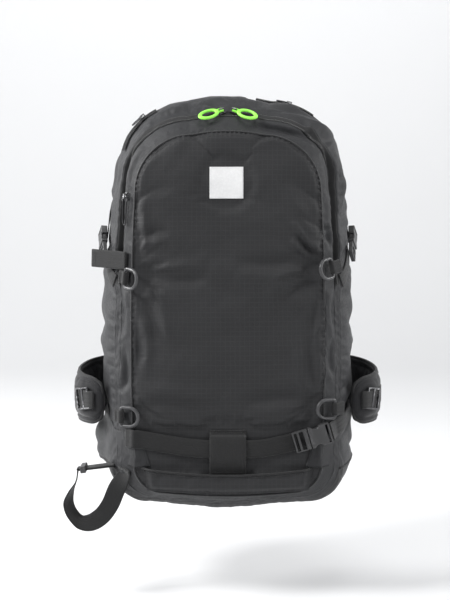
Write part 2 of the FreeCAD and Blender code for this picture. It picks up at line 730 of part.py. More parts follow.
# --- assembly -------------------------------------------------------------------------------------------
def build():
    nodes = shells()
    nodes["back_pad"] = back_pad()
    nodes["base_pocket"] = base_pocket()
    nodes["compression_wings"] = compression_wings()
    nodes["label"] = box(-25, 21, 0, 1.0, 421, 464)
    nodes["label"].rotate(V(0, 0, 442), V(1, 0, 0), -math.degrees(math.atan(30.5 / BODY_TOP)))
    nodes["label"].translate(V(0, front_y(442) - 1.6, 0))
    nodes["front_strap"] = front_strap()
    nodes["keeper_loop"] = keeper_loop()
    centre = (BUCKLE_C[0], front_y(BUCKLE_C[2]) - 9.6, BUCKLE_C[2])
    nodes["front_buckle_socket"] = placed(buckle_socket(), centre, BUCKLE_DIR, (0, -1, 0))
    nodes["front_buckle_plug"] = placed(buckle_plug(), centre, BUCKLE_DIR, (0, -1, 0))
    rings, tabs = rings_and_tabs()
    nodes.update(rings)
    nodes["ring_tabs"] = tabs
    nodes["side_straps"] = side_straps()
    nodes["strap_keeper"] = strap_keeper()
    sockets = []
    for name, side in (("left", -1), ("right", 1)):
        centre, along, normal = side_buckle_frame(side)
        n, a = V(*normal), V(*along)
        a = tuple(a - n * a.dot(n))
        sockets.append(placed(buckle_socket(SIDE_BUCKLE_K), centre, a, normal))
        nodes["side_buckle_plug_" + name] = placed(buckle_plug(SIDE_BUCKLE_K), centre, a, normal)
        nodes["hip_wing_" + name] = hip_wing(side)
        slider, web, half = hip_hardware(side)
        nodes["hip_slider_" + name] = slider
        nodes["hip_webbing_" + name] = web
        nodes["hip_buckle_" + name] = half
        nodes["shoulder_strap_" + name] = shoulder_strap(side)
    nodes["side_buckle_sockets"] = Part.makeCompound(sockets)
    nodes["ski_loop"] = ski_loop()
    nodes["ski_loop_slider"] = ski_loop_slider()
    nodes["back_webbing"] = back_webbing()
    nodes["ladder_locks"] = ladder_locks()
    nodes["sternum_straps"] = sternum_straps()
    sternum_at = ((0.0, STERNUM_Y + 1.0, STERNUM_Z), (-1, 0, 0), (0, 1, 0))
    nodes["sternum_buckle_socket"] = placed(buckle_socket(0.8), *sternum_at)
    nodes["sternum_buckle_plug"] = placed(buckle_plug(0.8), *sternum_at)
    nodes["trigger_sleeve"], nodes["trigger_handle"] = trigger()
    nodes.update(main_sliders())
    for name, (near, along, length) in SMALL_SLIDERS.items():
        nodes[name] = small_slider(near, along, length)
    nodes["airbag_pack"] = airbag_pack()
    nodes["fan_housing"] = fan_housing()
    nodes["impeller"] = impeller()
    nodes["capacitor_pack"] = capacitor_pack()
    nodes["battery_case"] = battery_case()
    nodes["air_duct"] = air_duct()
    nodes["frame_sheet"] = frame_sheet()
    return nodes


def save(nodes, folder="parts"):
    os.makedirs(folder, exist_ok=True)
    for name, shape in nodes.items():
        out = shape.copy()
        out.translate(V(0, 0, -YOKE_Z))
        out.exportStep(os.path.join(folder, name + ".step"))


if __name__ == "__main__":
    made = build()
    save(made)
    for node, solid in sorted(made.items()):
        print(f"{node:24s} solids {len(solid.Solids)} valid {solid.isValid()} "
              f"volume {sum(s.Volume for s in solid.Solids) / 1000:9.2f} cm3")
    print(len(made), "nodes")
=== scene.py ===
import json
import math
import bpy
import numpy as np
from mathutils import Matrix, Vector
from mathutils.kdtree import KDTree


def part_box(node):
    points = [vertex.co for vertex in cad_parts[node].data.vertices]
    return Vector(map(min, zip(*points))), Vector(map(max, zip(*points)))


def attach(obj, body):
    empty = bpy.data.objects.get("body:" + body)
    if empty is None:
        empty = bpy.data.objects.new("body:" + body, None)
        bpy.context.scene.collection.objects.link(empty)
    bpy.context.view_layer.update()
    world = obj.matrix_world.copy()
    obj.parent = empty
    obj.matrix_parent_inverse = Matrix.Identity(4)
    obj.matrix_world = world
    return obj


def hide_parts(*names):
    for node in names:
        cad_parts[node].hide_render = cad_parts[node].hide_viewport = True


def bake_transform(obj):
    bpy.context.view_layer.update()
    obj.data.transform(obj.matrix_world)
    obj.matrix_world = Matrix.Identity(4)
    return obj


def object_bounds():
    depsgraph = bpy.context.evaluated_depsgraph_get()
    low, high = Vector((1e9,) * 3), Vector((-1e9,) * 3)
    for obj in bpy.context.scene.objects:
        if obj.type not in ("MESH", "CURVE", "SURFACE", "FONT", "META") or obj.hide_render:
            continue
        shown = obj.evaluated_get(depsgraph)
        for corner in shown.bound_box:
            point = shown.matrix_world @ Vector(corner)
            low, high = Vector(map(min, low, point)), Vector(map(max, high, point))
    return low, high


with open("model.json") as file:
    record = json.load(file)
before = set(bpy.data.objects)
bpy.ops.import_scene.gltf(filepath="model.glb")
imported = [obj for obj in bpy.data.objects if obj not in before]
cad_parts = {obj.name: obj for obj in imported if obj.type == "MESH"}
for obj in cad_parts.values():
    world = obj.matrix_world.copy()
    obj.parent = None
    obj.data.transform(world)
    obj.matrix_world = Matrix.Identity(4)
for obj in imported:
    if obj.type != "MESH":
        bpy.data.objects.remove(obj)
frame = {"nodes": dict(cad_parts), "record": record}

CAD_BOX = [list(map(float, c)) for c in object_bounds()]
NODES = frame["nodes"]
TAU = math.tau

# Lengths below are millimetres in the pack's own frame: x to the wearer's right, y towards the
# wearer, z up from the lowest point of the body. S and YOKE turn them into the row frame.
S, YOKE = 0.001, 520.0
TOP = 557.0
WEB, NARROW_WEB, THIN_WEB = 25.0, 20, 18        # webbing widths
BASE_SEAM_Z, BASE_WELT_Z = 47, 44               # top of the base fabric, and its welt
COIL_FOOT_Z = 300.0                             # where the zip's coil ends on both sides
MID_Z = 276.0                                   # half-way up, where the round walls close
LABEL_BOX = (-25, 21, 421, 464)                 # x low, x high, z low, z high
SIDES = ((-1, "left"), (1, "right"))
UP, ACROSS, BACK = (0, 0, 1), (1, 0, 0), (0, 1, 0)

# body sections, front to back: y low, y high, half widths low, mid, high, bottom, top,
# top corner radius, rise of the top arch, foot radius
SECTIONS = np.array([
    (-188.0, -157.5, 130.0, 133.0, 127.0, 10.0, 512.0, 78.0, 5.0, 40.0),
    (-172.0, -142.0, 147.0, 150.0, 141.0, 4.0, 533.0, 86.0, 6.0, 48.0),
    (-150.0, -120.0, 158.0, 164.0, 150.0, 1.0, 548.0, 94.0, 7.0, 52.0),
    (-105.0, -90.0, 166.0, 173.0, 156.0, 0.0, 557.0, 100.0, 8.0, 55.0),
    (-45.0, -40.0, 168.0, 175.0, 158.0, 2.0, 549.0, 98.0, 8.0, 52.0),
    (0.0, 0.0, 152.0, 158.0, 146.0, 14.0, 538.0, 92.0, 8.0, 45.0),
])


def row(p):
    """Millimetres in the pack's frame to the row frame, for an (n, 3) array."""
    p = np.asarray(p, float)
    return (p - np.array([0, 0, YOKE])) * S


# --- materials ---------------------------------------------------------------------------

class Nodes:
    """A material's node tree, written as short calls."""

    def __init__(self, name, base, rough=0.7, sheen=0.0, coat=0.0, metal=0.0, spec=0.5):
        self.m = bpy.data.materials.new(name)
        self.m.use_nodes = True
        self.t = self.m.node_tree
        self.b = self.t.nodes["Principled BSDF"]
        for key, value in (("Base Color", tint(base)), ("Roughness", rough), ("Sheen Weight", sheen),
                           ("Sheen Roughness", 0.45), ("Coat Weight", coat), ("Metallic", metal),
                           ("Specular IOR Level", spec)):
            self.b.inputs[key].default_value = value
        self.bump_from = None

    def put(self, socket, value):
        if isinstance(value, bpy.types.NodeSocket):
            self.t.links.new(value, socket)
        else:
            socket.default_value = value

    def add(self, kind, inputs=(), **settings):
        """A node with its settings, and its inputs as (key, value) pairs."""
        n = self.t.nodes.new(kind)
        for key, value in settings.items():
            setattr(n, key, value)
        for key, value in inputs:
            self.put(n.inputs[key], value)
        return n

    def math(self, op, a, b=0.0, c=0.0):
        return self.add("ShaderNodeMath", enumerate((a, b, c)), operation=op).outputs[0]

    def mul(self, a, b):
        return self.math("MULTIPLY", a, b)

    def coords(self, uv=True):
        return self.add("ShaderNodeTexCoord").outputs["UV" if uv else "Object"]

    def split(self, vec):
        return self.add("ShaderNodeSeparateXYZ", [(0, vec)]).outputs

    def noise(self, vec, scale, detail=3.0, rough=0.5):
        return self.add("ShaderNodeTexNoise", (("Vector", vec), ("Scale", scale), ("Detail", detail),
                                               ("Roughness", rough))).outputs["Fac"]

    def line(self, x, pitch, width):
        """1 on lines of a width every pitch, 0 between, soft at the edges."""
        f = self.math("FRACT", self.math("DIVIDE", x, pitch))
        d = self.math("ABSOLUTE", self.math("SUBTRACT", f, 0.5))
        edge = 0.5 * width / pitch
        ends = (("Value", d), ("From Min", edge * 1.6), ("From Max", edge * 0.4))
        return self.add("ShaderNodeMapRange", ends, interpolation_type="SMOOTHSTEP").outputs["Result"]

    def wave(self, x, pitch):
        """A sine of x with a period of pitch, from 0 to 1."""
        return self.math("MULTIPLY_ADD", self.math("SINE", self.mul(x, TAU / pitch)), 0.5, 0.5)

    def mix(self, fac, a, b):
        return self.add("ShaderNodeMix", ((0, fac), (6, a), (7, b)), data_type="RGBA").outputs[2]

    def ramp(self, x, lo, hi, a=0.0, b=1.0):
        return self.add("ShaderNodeMapRange", (("Value", x), ("From Min", lo), ("From Max", hi),
                                               ("To Min", a), ("To Max", b))).outputs["Result"]

    def bump(self, height, distance, strength=1.0):
        n = self.add("ShaderNodeBump", (("Strength", strength), ("Distance", distance), ("Height", height)))
        if self.bump_from is not None:
            self.put(n.inputs["Normal"], self.bump_from)
        self.bump_from = n.outputs[0]
        self.put(self.b.inputs["Normal"], self.bump_from)

    def colour(self, value):
        self.put(self.b.inputs["Base Color"], value)

    def rough(self, value):
        self.put(self.b.inputs["Roughness"], value)

    def clouds(self, vec, scale, base, dark, light, detail=4.0):
        """Base colour drifting between a darker and a lighter shade; returns the drift too."""
        cloud = self.ramp(self.noise(vec, scale, detail), 0.3, 0.7)
        return cloud, self.mix(cloud, tint(base, dark), tint(base, light))

    def edge_wear_and_glint(self, colour_now, wear_and_glint, amount):
        """Lighter colour along sharp convex edges, broken up by noise: rubbed-through coating on metal, a
        painted highlight on plastic.
        """
        mask = self.ramp(self.add("ShaderNodeNewGeometry").outputs["Pointiness"], 0.52, 0.60)
        grit = self.ramp(self.noise(self.coords(False), 240.0), 0.42, 0.62)
        return self.mix(self.mul(self.mul(mask, grit), amount), colour_now, wear_and_glint)


def tint(c, k=1.0):
    """Colour c made k times as bright, with its alpha."""
    return (*(min(1.0, v * k) for v in c), 1)


def mat_ripstop(name, base, pitch=0.0064):
    """Fine plain weave under a grid of thicker threads."""
    n = Nodes(name, base, rough=0.60, sheen=0.06, spec=0.24)
    uv = n.coords()
    x, y, _ = n.split(uv)
    grid = n.math("MAXIMUM", n.line(x, pitch, 0.0008), n.line(y, pitch, 0.0009))
    cloud, body = n.clouds(uv, 14.0, base, 0.90, 1.10)
    body = n.mix(n.mul(n.noise(uv, 420.0, 2.0), 0.25), body, tint(base, 1.35))
    n.colour(n.mix(n.mul(grid, 0.26), body, tint(base, 1.75)))
    n.rough(n.math("MULTIPLY_ADD", grid, -0.10, n.ramp(cloud, 0, 1, 0.60, 0.68)))
    n.bump(grid, 0.00022, 0.5)
    n.bump(n.mul(n.wave(x, 0.0007), n.wave(y, 0.0007)), 0.00012, 0.5)
    return n.m


def mat_weave(name, base, pitch=0.0009, rough=0.6, sheen=0.15, spec=0.35, depth=0.00015, uv=True):
    """Plain-woven nylon: fine over-and-under weave, cloudy colour and a little pilling."""
    n = Nodes(name, base, rough=rough, sheen=sheen, spec=spec)
    at = n.coords(uv)
    x, y, z = n.split(at)
    if uv:
        weave = n.math("ABSOLUTE", n.math("SUBTRACT", n.wave(x, pitch), n.wave(y, pitch)))
    else:
        weave = n.mul(n.wave(n.math("ADD", x, z), pitch), n.wave(n.math("SUBTRACT", y, z), pitch))
    slub = n.noise(at, 300.0, 3.0)
    body = n.mix(n.mul(weave, 0.22), n.clouds(at, 11.0, base, 0.88, 1.12)[1], tint(base, 1.5))
    n.colour(n.mix(n.mul(n.ramp(slub, 0.45, 0.75), 0.25), body, tint(base, 1.4)))
    n.rough(n.ramp(slub, 0.3, 0.7, rough - 0.05, rough + 0.06))
    n.bump(weave, depth, 0.6)
    n.bump(slub, 0.0004, 0.15)
    return n.m


def mat_webbing(name, base):
    """Woven webbing: uv x across, y along; ribs across, selvedges and a herringbone."""
    n = Nodes(name, base, rough=0.72, sheen=0.20, spec=0.25)
    uv = n.coords()
    x, y, _ = n.split(uv)
    tilt = n.math("ABSOLUTE", n.math("SUBTRACT", n.math("FRACT", n.math("DIVIDE", x, 0.0062)), 0.5))
    herring = n.wave(n.math("ADD", y, n.mul(tilt, 0.0045)), 0.00165)
    cords = n.wave(x, 0.0031)
    body = n.mix(n.mul(herring, 0.55), tint(base, 0.75), tint(base, 1.45))
    body = n.mix(n.mul(cords, 0.25), body, tint(base, 1.25))
    n.colour(n.mix(n.mul(n.ramp(n.noise(uv, 500.0, 2.0), 0.5, 0.8), 0.35), body, tint(base, 1.9)))
    n.bump(herring, 0.0003, 0.8)
    n.bump(cords, 0.0002, 0.5)
    return n.m


def mat_mesh(name, base):
    """Spacer mesh: small hexagon-like holes over a darker ground."""
    n = Nodes(name, base, rough=0.85, sheen=0.25, spec=0.2)
    uv = n.coords()
    cells = n.add("ShaderNodeTexVoronoi", (("Vector", uv), ("Scale", 330.0), ("Randomness", 0.25)),
                  feature="DISTANCE_TO_EDGE")
    hole = n.ramp(cells.outputs["Distance"], 0.12, 0.30)
    n.colour(n.mix(hole, tint(base, 1.6), n.clouds(uv, 12.0, base, 0.9, 1.15, 3.0)[1]))
    n.bump(hole, 0.0005, -0.8)
    return n.m


def mat_plastic(name, base, rough=0.38, wear_and_glint=0.5, marks=0.35):
    """Moulded plastic: fine spark-eroded grain, slightly scuffed, with a painted highlight along its edges.
    """
    n = Nodes(name, base, rough=rough, spec=0.5)
    at = n.coords(False)
    grain = n.noise(at, 1500.0, 2.0)
    scuff = n.ramp(n.noise(at, 60.0, 5.0, 0.65), 0.45, 0.75)
    body = n.mix(n.mul(scuff, marks), tint(base), tint(base, 1.6))
    # painted highlight: the edges are three times as bright as the plastic
    n.colour(n.edge_wear_and_glint(body, tint(base, 3.0), wear_and_glint))
    n.rough(n.math("MULTIPLY_ADD", scuff, 0.16, n.ramp(grain, 0.3, 0.7, rough - 0.05, rough + 0.05)))
    n.bump(grain, 0.00012, 0.3)
    return n.m


def mat_metal(name, base, rough=0.35):
    """Coated steel with the coating rubbed through along the edges."""
    n = Nodes(name, base, rough=rough, metal=0.55, spec=0.5, coat=0.25)
    at = n.coords(False)
    scuff = n.ramp(n.noise(at, 90.0, 5.0, 0.65), 0.5, 0.75)
    body = n.mix(n.mul(scuff, 0.4), tint(base), tint(base, 2.2))
    n.colour(n.edge_wear_and_glint(body, (0.55, 0.55, 0.56, 1), 0.9))
    n.rough(n.math("MULTIPLY_ADD", scuff, 0.15, rough))
    n.bump(n.noise(at, 700.0, 3.0), 0.0001, 0.4)
    return n.m


def mat_coil(name, base):
    """Moulded zip teeth: even ridges across the run of the coil."""
    n = Nodes(name, base, rough=0.35, spec=0.5)
    teeth = n.wave(n.split(n.coords())[1], 0.0014)
    dust = n.ramp(n.noise(n.coords(), 260.0, 3.0), 0.5, 0.75)
    body = n.mix(teeth, tint(base, 0.6), tint(base, 1.9))
    n.colour(n.mix(n.mul(dust, 0.3), body, tint(base, 3.0)))
    n.bump(teeth, 0.0004, 0.9)
    return n.m


RIP = mat_ripstop("ripstop_nylon", (0.0200, 0.0201, 0.0212))
GUS = mat_weave("gusset_nylon", (0.0168, 0.0172, 0.0188), rough=0.52, sheen=0.05, spec=0.34)
BASE = mat_weave("base_nylon", (0.0150, 0.0150, 0.0158), pitch=0.0014, rough=0.66, depth=0.00025)
WEBM = mat_webbing("nylon_webbing", (0.0125, 0.0125, 0.0128))
BIND = mat_weave("binding_tape", (0.0110, 0.0110, 0.0115), pitch=0.0012, rough=0.75)
PIPE = mat_weave("piping_cover", (0.018, 0.018, 0.019), pitch=0.0010, rough=0.55)
MESHM = mat_mesh("spacer_mesh", (0.010, 0.010, 0.011))
LINE = mat_weave("lining_nylon", (0.16, 0.16, 0.17), rough=0.6)
BUCK = mat_plastic("acetal_black", (0.030, 0.030, 0.031), rough=0.34)
RINGM = mat_plastic("acetal_ring", (0.040, 0.040, 0.042), rough=0.30, wear_and_glint=0.6)
STEEL = mat_metal("coated_steel", (0.045, 0.045, 0.048), 0.32)
ZINC = mat_metal("zip_zinc", (0.03, 0.03, 0.032), 0.28)
GREEN = mat_plastic("lime_elastomer", (0.30, 0.86, 0.09), rough=0.42, wear_and_glint=0.0, marks=0.1)
CORD = mat_weave("pull_cord", (0.018, 0.018, 0.018), pitch=0.0012, uv=False)
RED = mat_plastic("trigger_red", (0.42, 0.02, 0.015), rough=0.40, wear_and_glint=0.0, marks=0.12)
LABEL = mat_weave("label_weave", (0.64, 0.64, 0.64), pitch=0.0008, rough=0.6, sheen=0.05)
GREYP = mat_plastic("housing_nylon", (0.07, 0.07, 0.075), rough=0.5)
ROTOR = mat_plastic("rotor_nylon", (0.35, 0.35, 0.36), rough=0.45)
CELL = mat_plastic("capacitor_sleeve", (0.03, 0.10, 0.30), rough=0.3)
THREAD = mat_weave("bonded_thread", (0.014, 0.014, 0.015), pitch=0.0006, uv=False, rough=0.5)
LABELT = mat_weave("label_thread", (0.72, 0.72, 0.73), pitch=0.0006, uv=False, rough=0.5)
COIL = mat_coil("zip_coil_nylon", (0.012, 0.012, 0.012))
BAGM = mat_weave("airbag_nylon", (0.50, 0.06, 0.04), uv=False, rough=0.5)


# --- mesh helpers ---------------------------------------------------------------------------

def add_object(name, data):
    ob = bpy.data.objects.new(name, data)
    bpy.context.scene.collection.objects.link(ob)
    return ob


def raw_mesh(name, points, faces):
    me = bpy.data.meshes.new(name)
    me.from_pydata([tuple(v) for v in points], [], [tuple(int(i) for i in f) for f in faces])
    return me


def mesh(name, points, faces, mat, uvs=None, thick=0.0):
    """A piece from millimetre points; uvs are one (u, v) per point, in millimetres too."""
    me = raw_mesh(name, row(np.asarray(points, float).reshape(-1, 3)), faces)
    for m in mat if isinstance(mat, list) else [mat]:
        me.materials.append(m)
    if uvs is not None:
        layer = me.uv_layers.new(name="uv")
        idx = np.empty(len(me.loops), int)
        me.loops.foreach_get("vertex_index", idx)
        layer.data.foreach_set("uv", (np.asarray(uvs, float)[idx] * S).ravel())
    me.shade_smooth()
    me.update()
    ob = add_object(name, me)
    if thick:
        m = ob.modifiers.new("thick", "SOLIDIFY")
        m.thickness, m.offset = thick * S, -1
    return ob


def grid_uv(u, v):
    """One (u, v) per vertex of a grid."""
    return np.stack(np.broadcast_arrays(u, v), -1).reshape(-1, 2)


def flat_uv(P):
    """Texture coordinates of cloth that hangs nearly upright: x and z."""
    return P.reshape(-1, 3)[:, [0, 2]]


def two_cloths(ob, second):
    """Give the faces picked out by second the piece's second material."""
    ob.data.polygons.foreach_set("material_index", np.asarray(second).astype(np.int32))


def stations(points, width, across=UP, side=1):
    """Webbing stations (point, width, across), with x mirrored for a side of -1."""
    return [((side * x, y, z), width, across) for x, y, z in points]


def grid_faces(rows, cols, wrap=False, flip=False, base=0):
    """Quads of a rows x cols grid of vertices, wrapped round the columns if asked."""
    r = np.arange(rows - 1)[:, None] * cols
    c = np.arange(cols if wrap else cols - 1)[None, :]
    c2 = (c + 1) % cols
    f = np.stack([r + c, r + c2, r + cols + c2, r + cols + c], -1).reshape(-1, 4) + base
    return f[:, ::-1] if flip else f


def closed_faces(rows, cols, flip=False, base=0):
    """Faces of a wrapped grid with a polygon over each end."""
    last = base + (rows - 1) * cols
    ends = [range(base, base + cols)[::-1], range(last, last + cols)]
    return list(grid_faces(rows, cols, True, flip, base)) + ([e[::-1] for e in ends] if flip else ends)


def unit(v):
    v = np.asarray(v, float)
    return v / np.maximum(np.linalg.norm(v, axis=-1, keepdims=True), 1e-9)


def grid_normals(P, wrap):
    """Normals of a (rows, cols, 3) grid."""
    dr = np.gradient(P, axis=0)
    if wrap:
        dc = np.roll(P, -1, axis=1) - np.roll(P, 1, axis=1)
    else:
        dc = np.gradient(P, axis=1)
    return unit(np.cross(dr, dc))


def waves(P, length, seed, count=14):
    """Smooth noise of about the given wavelength at points P, roughly -1 to 1."""
    rng = np.random.default_rng(seed)
    out = np.zeros(P.shape[:-1])
    for _ in range(count):
        k = unit(rng.normal(size=3)) * TAU / length * rng.uniform(0.6, 1.5)
        out += np.sin(P @ k + rng.uniform(0, TAU))
    return out / math.sqrt(count / 2) / 1.6


def smooth01(x):
    """0 below 0, 1 above 1 and a smooth step between."""
    x = np.clip(x, 0, 1)
    return x * x * (3 - 2 * x)


def bell(v, centre, half, power=2):
    """1 at the centre, falling away over about half on either side."""
    return np.exp(-((v - centre) / half) ** power)


def spline(points, step=2.0, closed=False):
    """Catmull-Rom curve through points of any dimension, resampled every step of length."""
    p = np.asarray(points, float)
    if closed:
        q = np.vstack([p[-1], p, p[0], p[1]])
    else:
        q = np.vstack([2 * p[0] - p[1], p, 2 * p[-1] - p[-2]])
    out = []
    for i in range(1, len(q) - 2):
        n = max(2, int(np.linalg.norm((q[i + 1] - q[i])[:3]) / step))
        t = np.linspace(0, 1, n, endpoint=False)[:, None]
        a, b, c, d = q[i - 1], q[i], q[i + 1], q[i + 2]
        out.append(0.5 * (2 * b + (c - a) * t + (2 * a - 5 * b + 4 * c - d) * t ** 2
                          + (3 * b - a - 3 * c + d) * t ** 3))
    if not closed:
        out.append(p[-1:])
    return np.vstack(out)


def tangents(c, closed=False):
    if closed:
        return unit(np.roll(c, -1, axis=0) - np.roll(c, 1, axis=0))
    return unit(np.gradient(c, axis=0))


def along(c):
    """Length run so far at each point of a polyline."""
    return np.concatenate([[0], np.cumsum(np.linalg.norm(np.diff(c, axis=0), axis=1))])


def tube(name, points, radius, mat, sides=8, closed=False, step=2.0, up=UP, oval=1.0):
    """Round or oval cord along a smooth curve through points."""
    c = spline(points, step, closed) if step else np.asarray(points, float)
    t = tangents(c, closed)
    n = unit(np.cross(t, np.asarray(up, float)[None, :] + t * 0.001))
    b = np.cross(t, n)
    r = np.broadcast_to(np.asarray(radius, float), (len(c),))
    a = np.linspace(0, TAU, sides, endpoint=False)
    P = c[:, None] + r[:, None, None] * (np.cos(a)[None, :, None] * n[:, None]
                                         + oval * np.sin(a)[None, :, None] * b[:, None])
    s = along(c)
    uv = grid_uv(a[None, :] * r[:, None], s[:, None])
    if closed:
        P = np.vstack([P, P[:1]])
        uv = np.vstack([uv, uv[:sides] + [0, s[-1]]])
    faces = grid_faces(len(P), sides, True) if closed else closed_faces(len(P), sides)
    return mesh(name, P, faces, mat, uv)


def ribbon(path, step):
    """Centres, widths, across and outward directions and run along (point, width, across) stations."""
    pts = np.array([p for p, _, _ in path], float)
    wid = np.array([[w] for _, w, _ in path], float)
    acr = unit(np.array([a for _, _, a in path], float))
    both = spline(np.hstack([pts, wid, acr]), step)
    c, w, a = both[:, :3], both[:, 3], both[:, 4:7]
    t = tangents(c)
    a = unit(a - t * np.sum(a * t, 1, keepdims=True))
    return c, w, a, np.cross(t, a), along(c)


def strap(name, path, thick=1.8, mat=None, step=2.0, cup=0.0, ripple=0.25, seed=3):
    """Webbing through stations, with rounded selvedges and soft ripples."""
    c, w, a, n, s = ribbon(path, step)
    c = c + n * (waves(c, 70.0, seed) * ripple)[:, None]
    u = np.array([-1, -0.96, -0.75, -0.4, 0, 0.4, 0.75, 0.96, 1])
    top = np.array([0, 0.7, 1, 1, 1, 1, 1, 0.7, 0])
    u, top = np.concatenate([u, u[-2:0:-1]]), np.concatenate([top, -top[-2:0:-1]])
    P = (c[:, None] + a[:, None] * (u[None, :, None] * w[:, None, None] / 2)
         + n[:, None] * (top * thick / 2 + cup * (u ** 2))[None, :, None])
    uv = grid_uv(u[None, :] * w[:, None] / 2, s[:, None])
    return mesh(name, P, closed_faces(len(c), len(u), True), mat or WEBM, uv)


# --- the body's surface ------------------------------------------------------------------------

def station(t):
    """Section values at t, from 0 at the front seam to 5 at the back, smoothly between sections."""
    i = int(min(max(math.floor(t), 0), 4))
    f = t - i
    a, b = SECTIONS[i], SECTIONS[i + 1]
    p, q = SECTIONS[max(i - 1, 0)], SECTIONS[min(i + 2, 5)]
    m0 = (b - p) / (1 if i == 0 else 2)
    m1 = (q - a) / (1 if i == 4 else 2)
    h = (2 * f ** 3 - 3 * f ** 2 + 1) * a + (f ** 3 - 2 * f ** 2 + f) * m0
    return h + (-2 * f ** 3 + 3 * f ** 2) * b + (f ** 3 - f ** 2) * m1


def arc3(a, b, c, n):
    """n points from a towards c on the circle through a, b and c, c left out."""
    a, b, c = (np.asarray(v, float) for v in (a, b, c))
    d = 2 * (a[0] * (b[1] - c[1]) + b[0] * (c[1] - a[1]) + c[0] * (a[1] - b[1]))
    sq = [v @ v for v in (a, b, c)]
    o = np.array([(sq[0] * (b[1] - c[1]) + sq[1] * (c[1] - a[1]) + sq[2] * (a[1] - b[1])) / d,
                  (sq[0] * (c[0] - b[0]) + sq[1] * (a[0] - c[0]) + sq[2] * (b[0] - a[0])) / d])
    r = np.linalg.norm(a - o)
    ang = [math.atan2(*(v - o)[::-1]) for v in (a, b, c)]
    sweep = (ang[2] - ang[0]) % TAU
    if (ang[1] - ang[0]) % TAU > sweep:
        sweep -= TAU
    t = ang[0] + sweep * np.arange(n) / n
    return o + r * np.stack([np.cos(t), np.sin(t)], 1)


SPLIT = [44, 32, 170, 62, 32]   # points on each arc from the bottom's middle to the top's
AROUND = 2 * sum(SPLIT)


def outline(v, inset=0.0):
    """Closed outline (x, z) of one section, anticlockwise from the bottom's middle."""
    low, mid, high = v[2:5] - inset
    bottom, top = v[5] + inset, v[6] - inset
    corner, rise, foot = v[7] - inset, v[8], v[9] - inset
    st, sb = top - rise - corner, bottom + rise + foot
    k = math.sqrt(0.5)
    A, B = (-low + foot, bottom + rise), (low - foot, bottom + rise)
    half = arc3(A, (0, bottom), B, 2 * SPLIT[0])[SPLIT[0]:]
    foot_arc = arc3(B, (low - foot + foot * k, sb - foot * k), (low, sb), SPLIT[1])
    side = arc3((low, sb), (mid, (st + sb) / 2), (high, st), SPLIT[2])
    shoulder = arc3((high, st), (high - corner + corner * k, st + corner * k),
                    (high - corner, top - rise), SPLIT[3])
    over = arc3((high - corner, top - rise), (0, top), (-high + corner, top - rise), 2 * SPLIT[4])
    right = np.vstack([half, foot_arc, side, shoulder, over[:SPLIT[4]]])
    last = np.array([[0.0, top]])
    left = np.vstack([last, right[:0:-1] * [-1, 1]])
    return np.vstack([right, left])


def ring(t, inset=0.0):
    """(AROUND, 3) points of the body's outline at station t."""
    v = station(t)
    xz = outline(v, inset)
    y = v[0] + (v[1] - v[0]) * xz[:, 1] / TOP
    return np.stack([xz[:, 0], y, xz[:, 1]], 1)


def front_y(z):
    """Where the front's plane lies at height z."""
    return -188.0 + 30.5 * z / TOP


# --- folds of the cloth ------------------------------------------------------------------------
# Each fold: points (x, z) seen from the front, half width, height; a valley has a negative
# height and a ridge beside it on the side the sign of lean gives.
FOLDS = [
    ([(34, 520), (82, 512), (112, 504), (136, 491)], 5.0, -5.5, 1),
    ([(46, 531), (98, 523), (130, 505), (146, 484)], 6.0, 3.0, 0),
    ([(60, 541), (104, 534), (138, 512)], 4.0, -2.2, 1),
    ([(-30, 545), (20, 541), (50, 541)], 4.0, -2.5, 1),
    ([(-70, 538), (-10, 548), (52, 547)], 3.5, -2.0, -1),
    ([(-96, 520), (-60, 532), (-20, 537)], 5.0, -2.0, 1),
    ([(136, 490), (146, 462), (151, 430), (150, 398)], 5.0, 3.2, 0),
    ([(127, 480), (137, 452), (141, 420)], 5.5, -2.0, 1),
    ([(-118, 492), (-136, 462), (-143, 425), (-144, 395)], 5.0, 2.4, 0),
    ([(86, 389), (104, 361), (123, 350), (127, 338)], 4.5, 3.8, 0),
    ([(92, 372), (107, 354), (122, 345)], 4.5, -4.0, -1),
    ([(142, 388), (125, 364), (121, 350)], 3.5, 3.2, 0),
    ([(129, 384), (139, 364), (143, 350)], 3.5, -2.8, 1),
    ([(124, 332), (90, 336), (52, 331), (10, 334)], 10.0, -2.6, 1),
    ([(124, 318), (92, 300), (66, 272)], 9.0, -2.2, -1),
    ([(128, 300), (118, 262), (114, 220)], 7.0, -2.6, 1),
    ([(126, 345), (96, 400), (80, 440)], 11.0, 2.2, 0),
    ([(-124, 324), (-92, 312), (-60, 309), (-24, 312)], 9.0, -3.0, 1),
    ([(-122, 365), (-98, 374), (-78, 372)], 7.0, -2.4, -1),
    ([(-121, 300), (-104, 262), (-96, 220)], 8.0, -2.4, 1),
    ([(-125, 420), (-121, 380), (-124, 340)], 5.0, -2.2, 1),
    ([(-128, 174), (-121, 210), (-126, 262)], 6.0, -2.6, -1),
    ([(-122, 128), (-92, 142), (-52, 140), (-12, 134)], 9.0, -2.6, 1),
    ([(124, 136), (96, 150), (58, 150), (16, 142)], 10.0, -2.6, 1),
    ([(122, 148), (110, 190), (112, 232)], 7.0, -2.2, 1),
    ([(-60, 116), (-10, 108), (44, 112)], 6.0, 2.0, 0),
    ([(-150, 152), (-140, 175), (-146, 205)], 5.0, -3.5, 1),
    ([(-136, 150), (-130, 120), (-136, 96)], 4.0, -2.6, 1),
    ([(150, 170), (140, 196), (146, 230)], 5.0, -3.2, 1),
    ([(154, 300), (146, 268), (150, 226)], 5.0, -3.0, -1),
    ([(-152, 300), (-146, 262), (-151, 226)], 5.0, -3.0, 1),
]
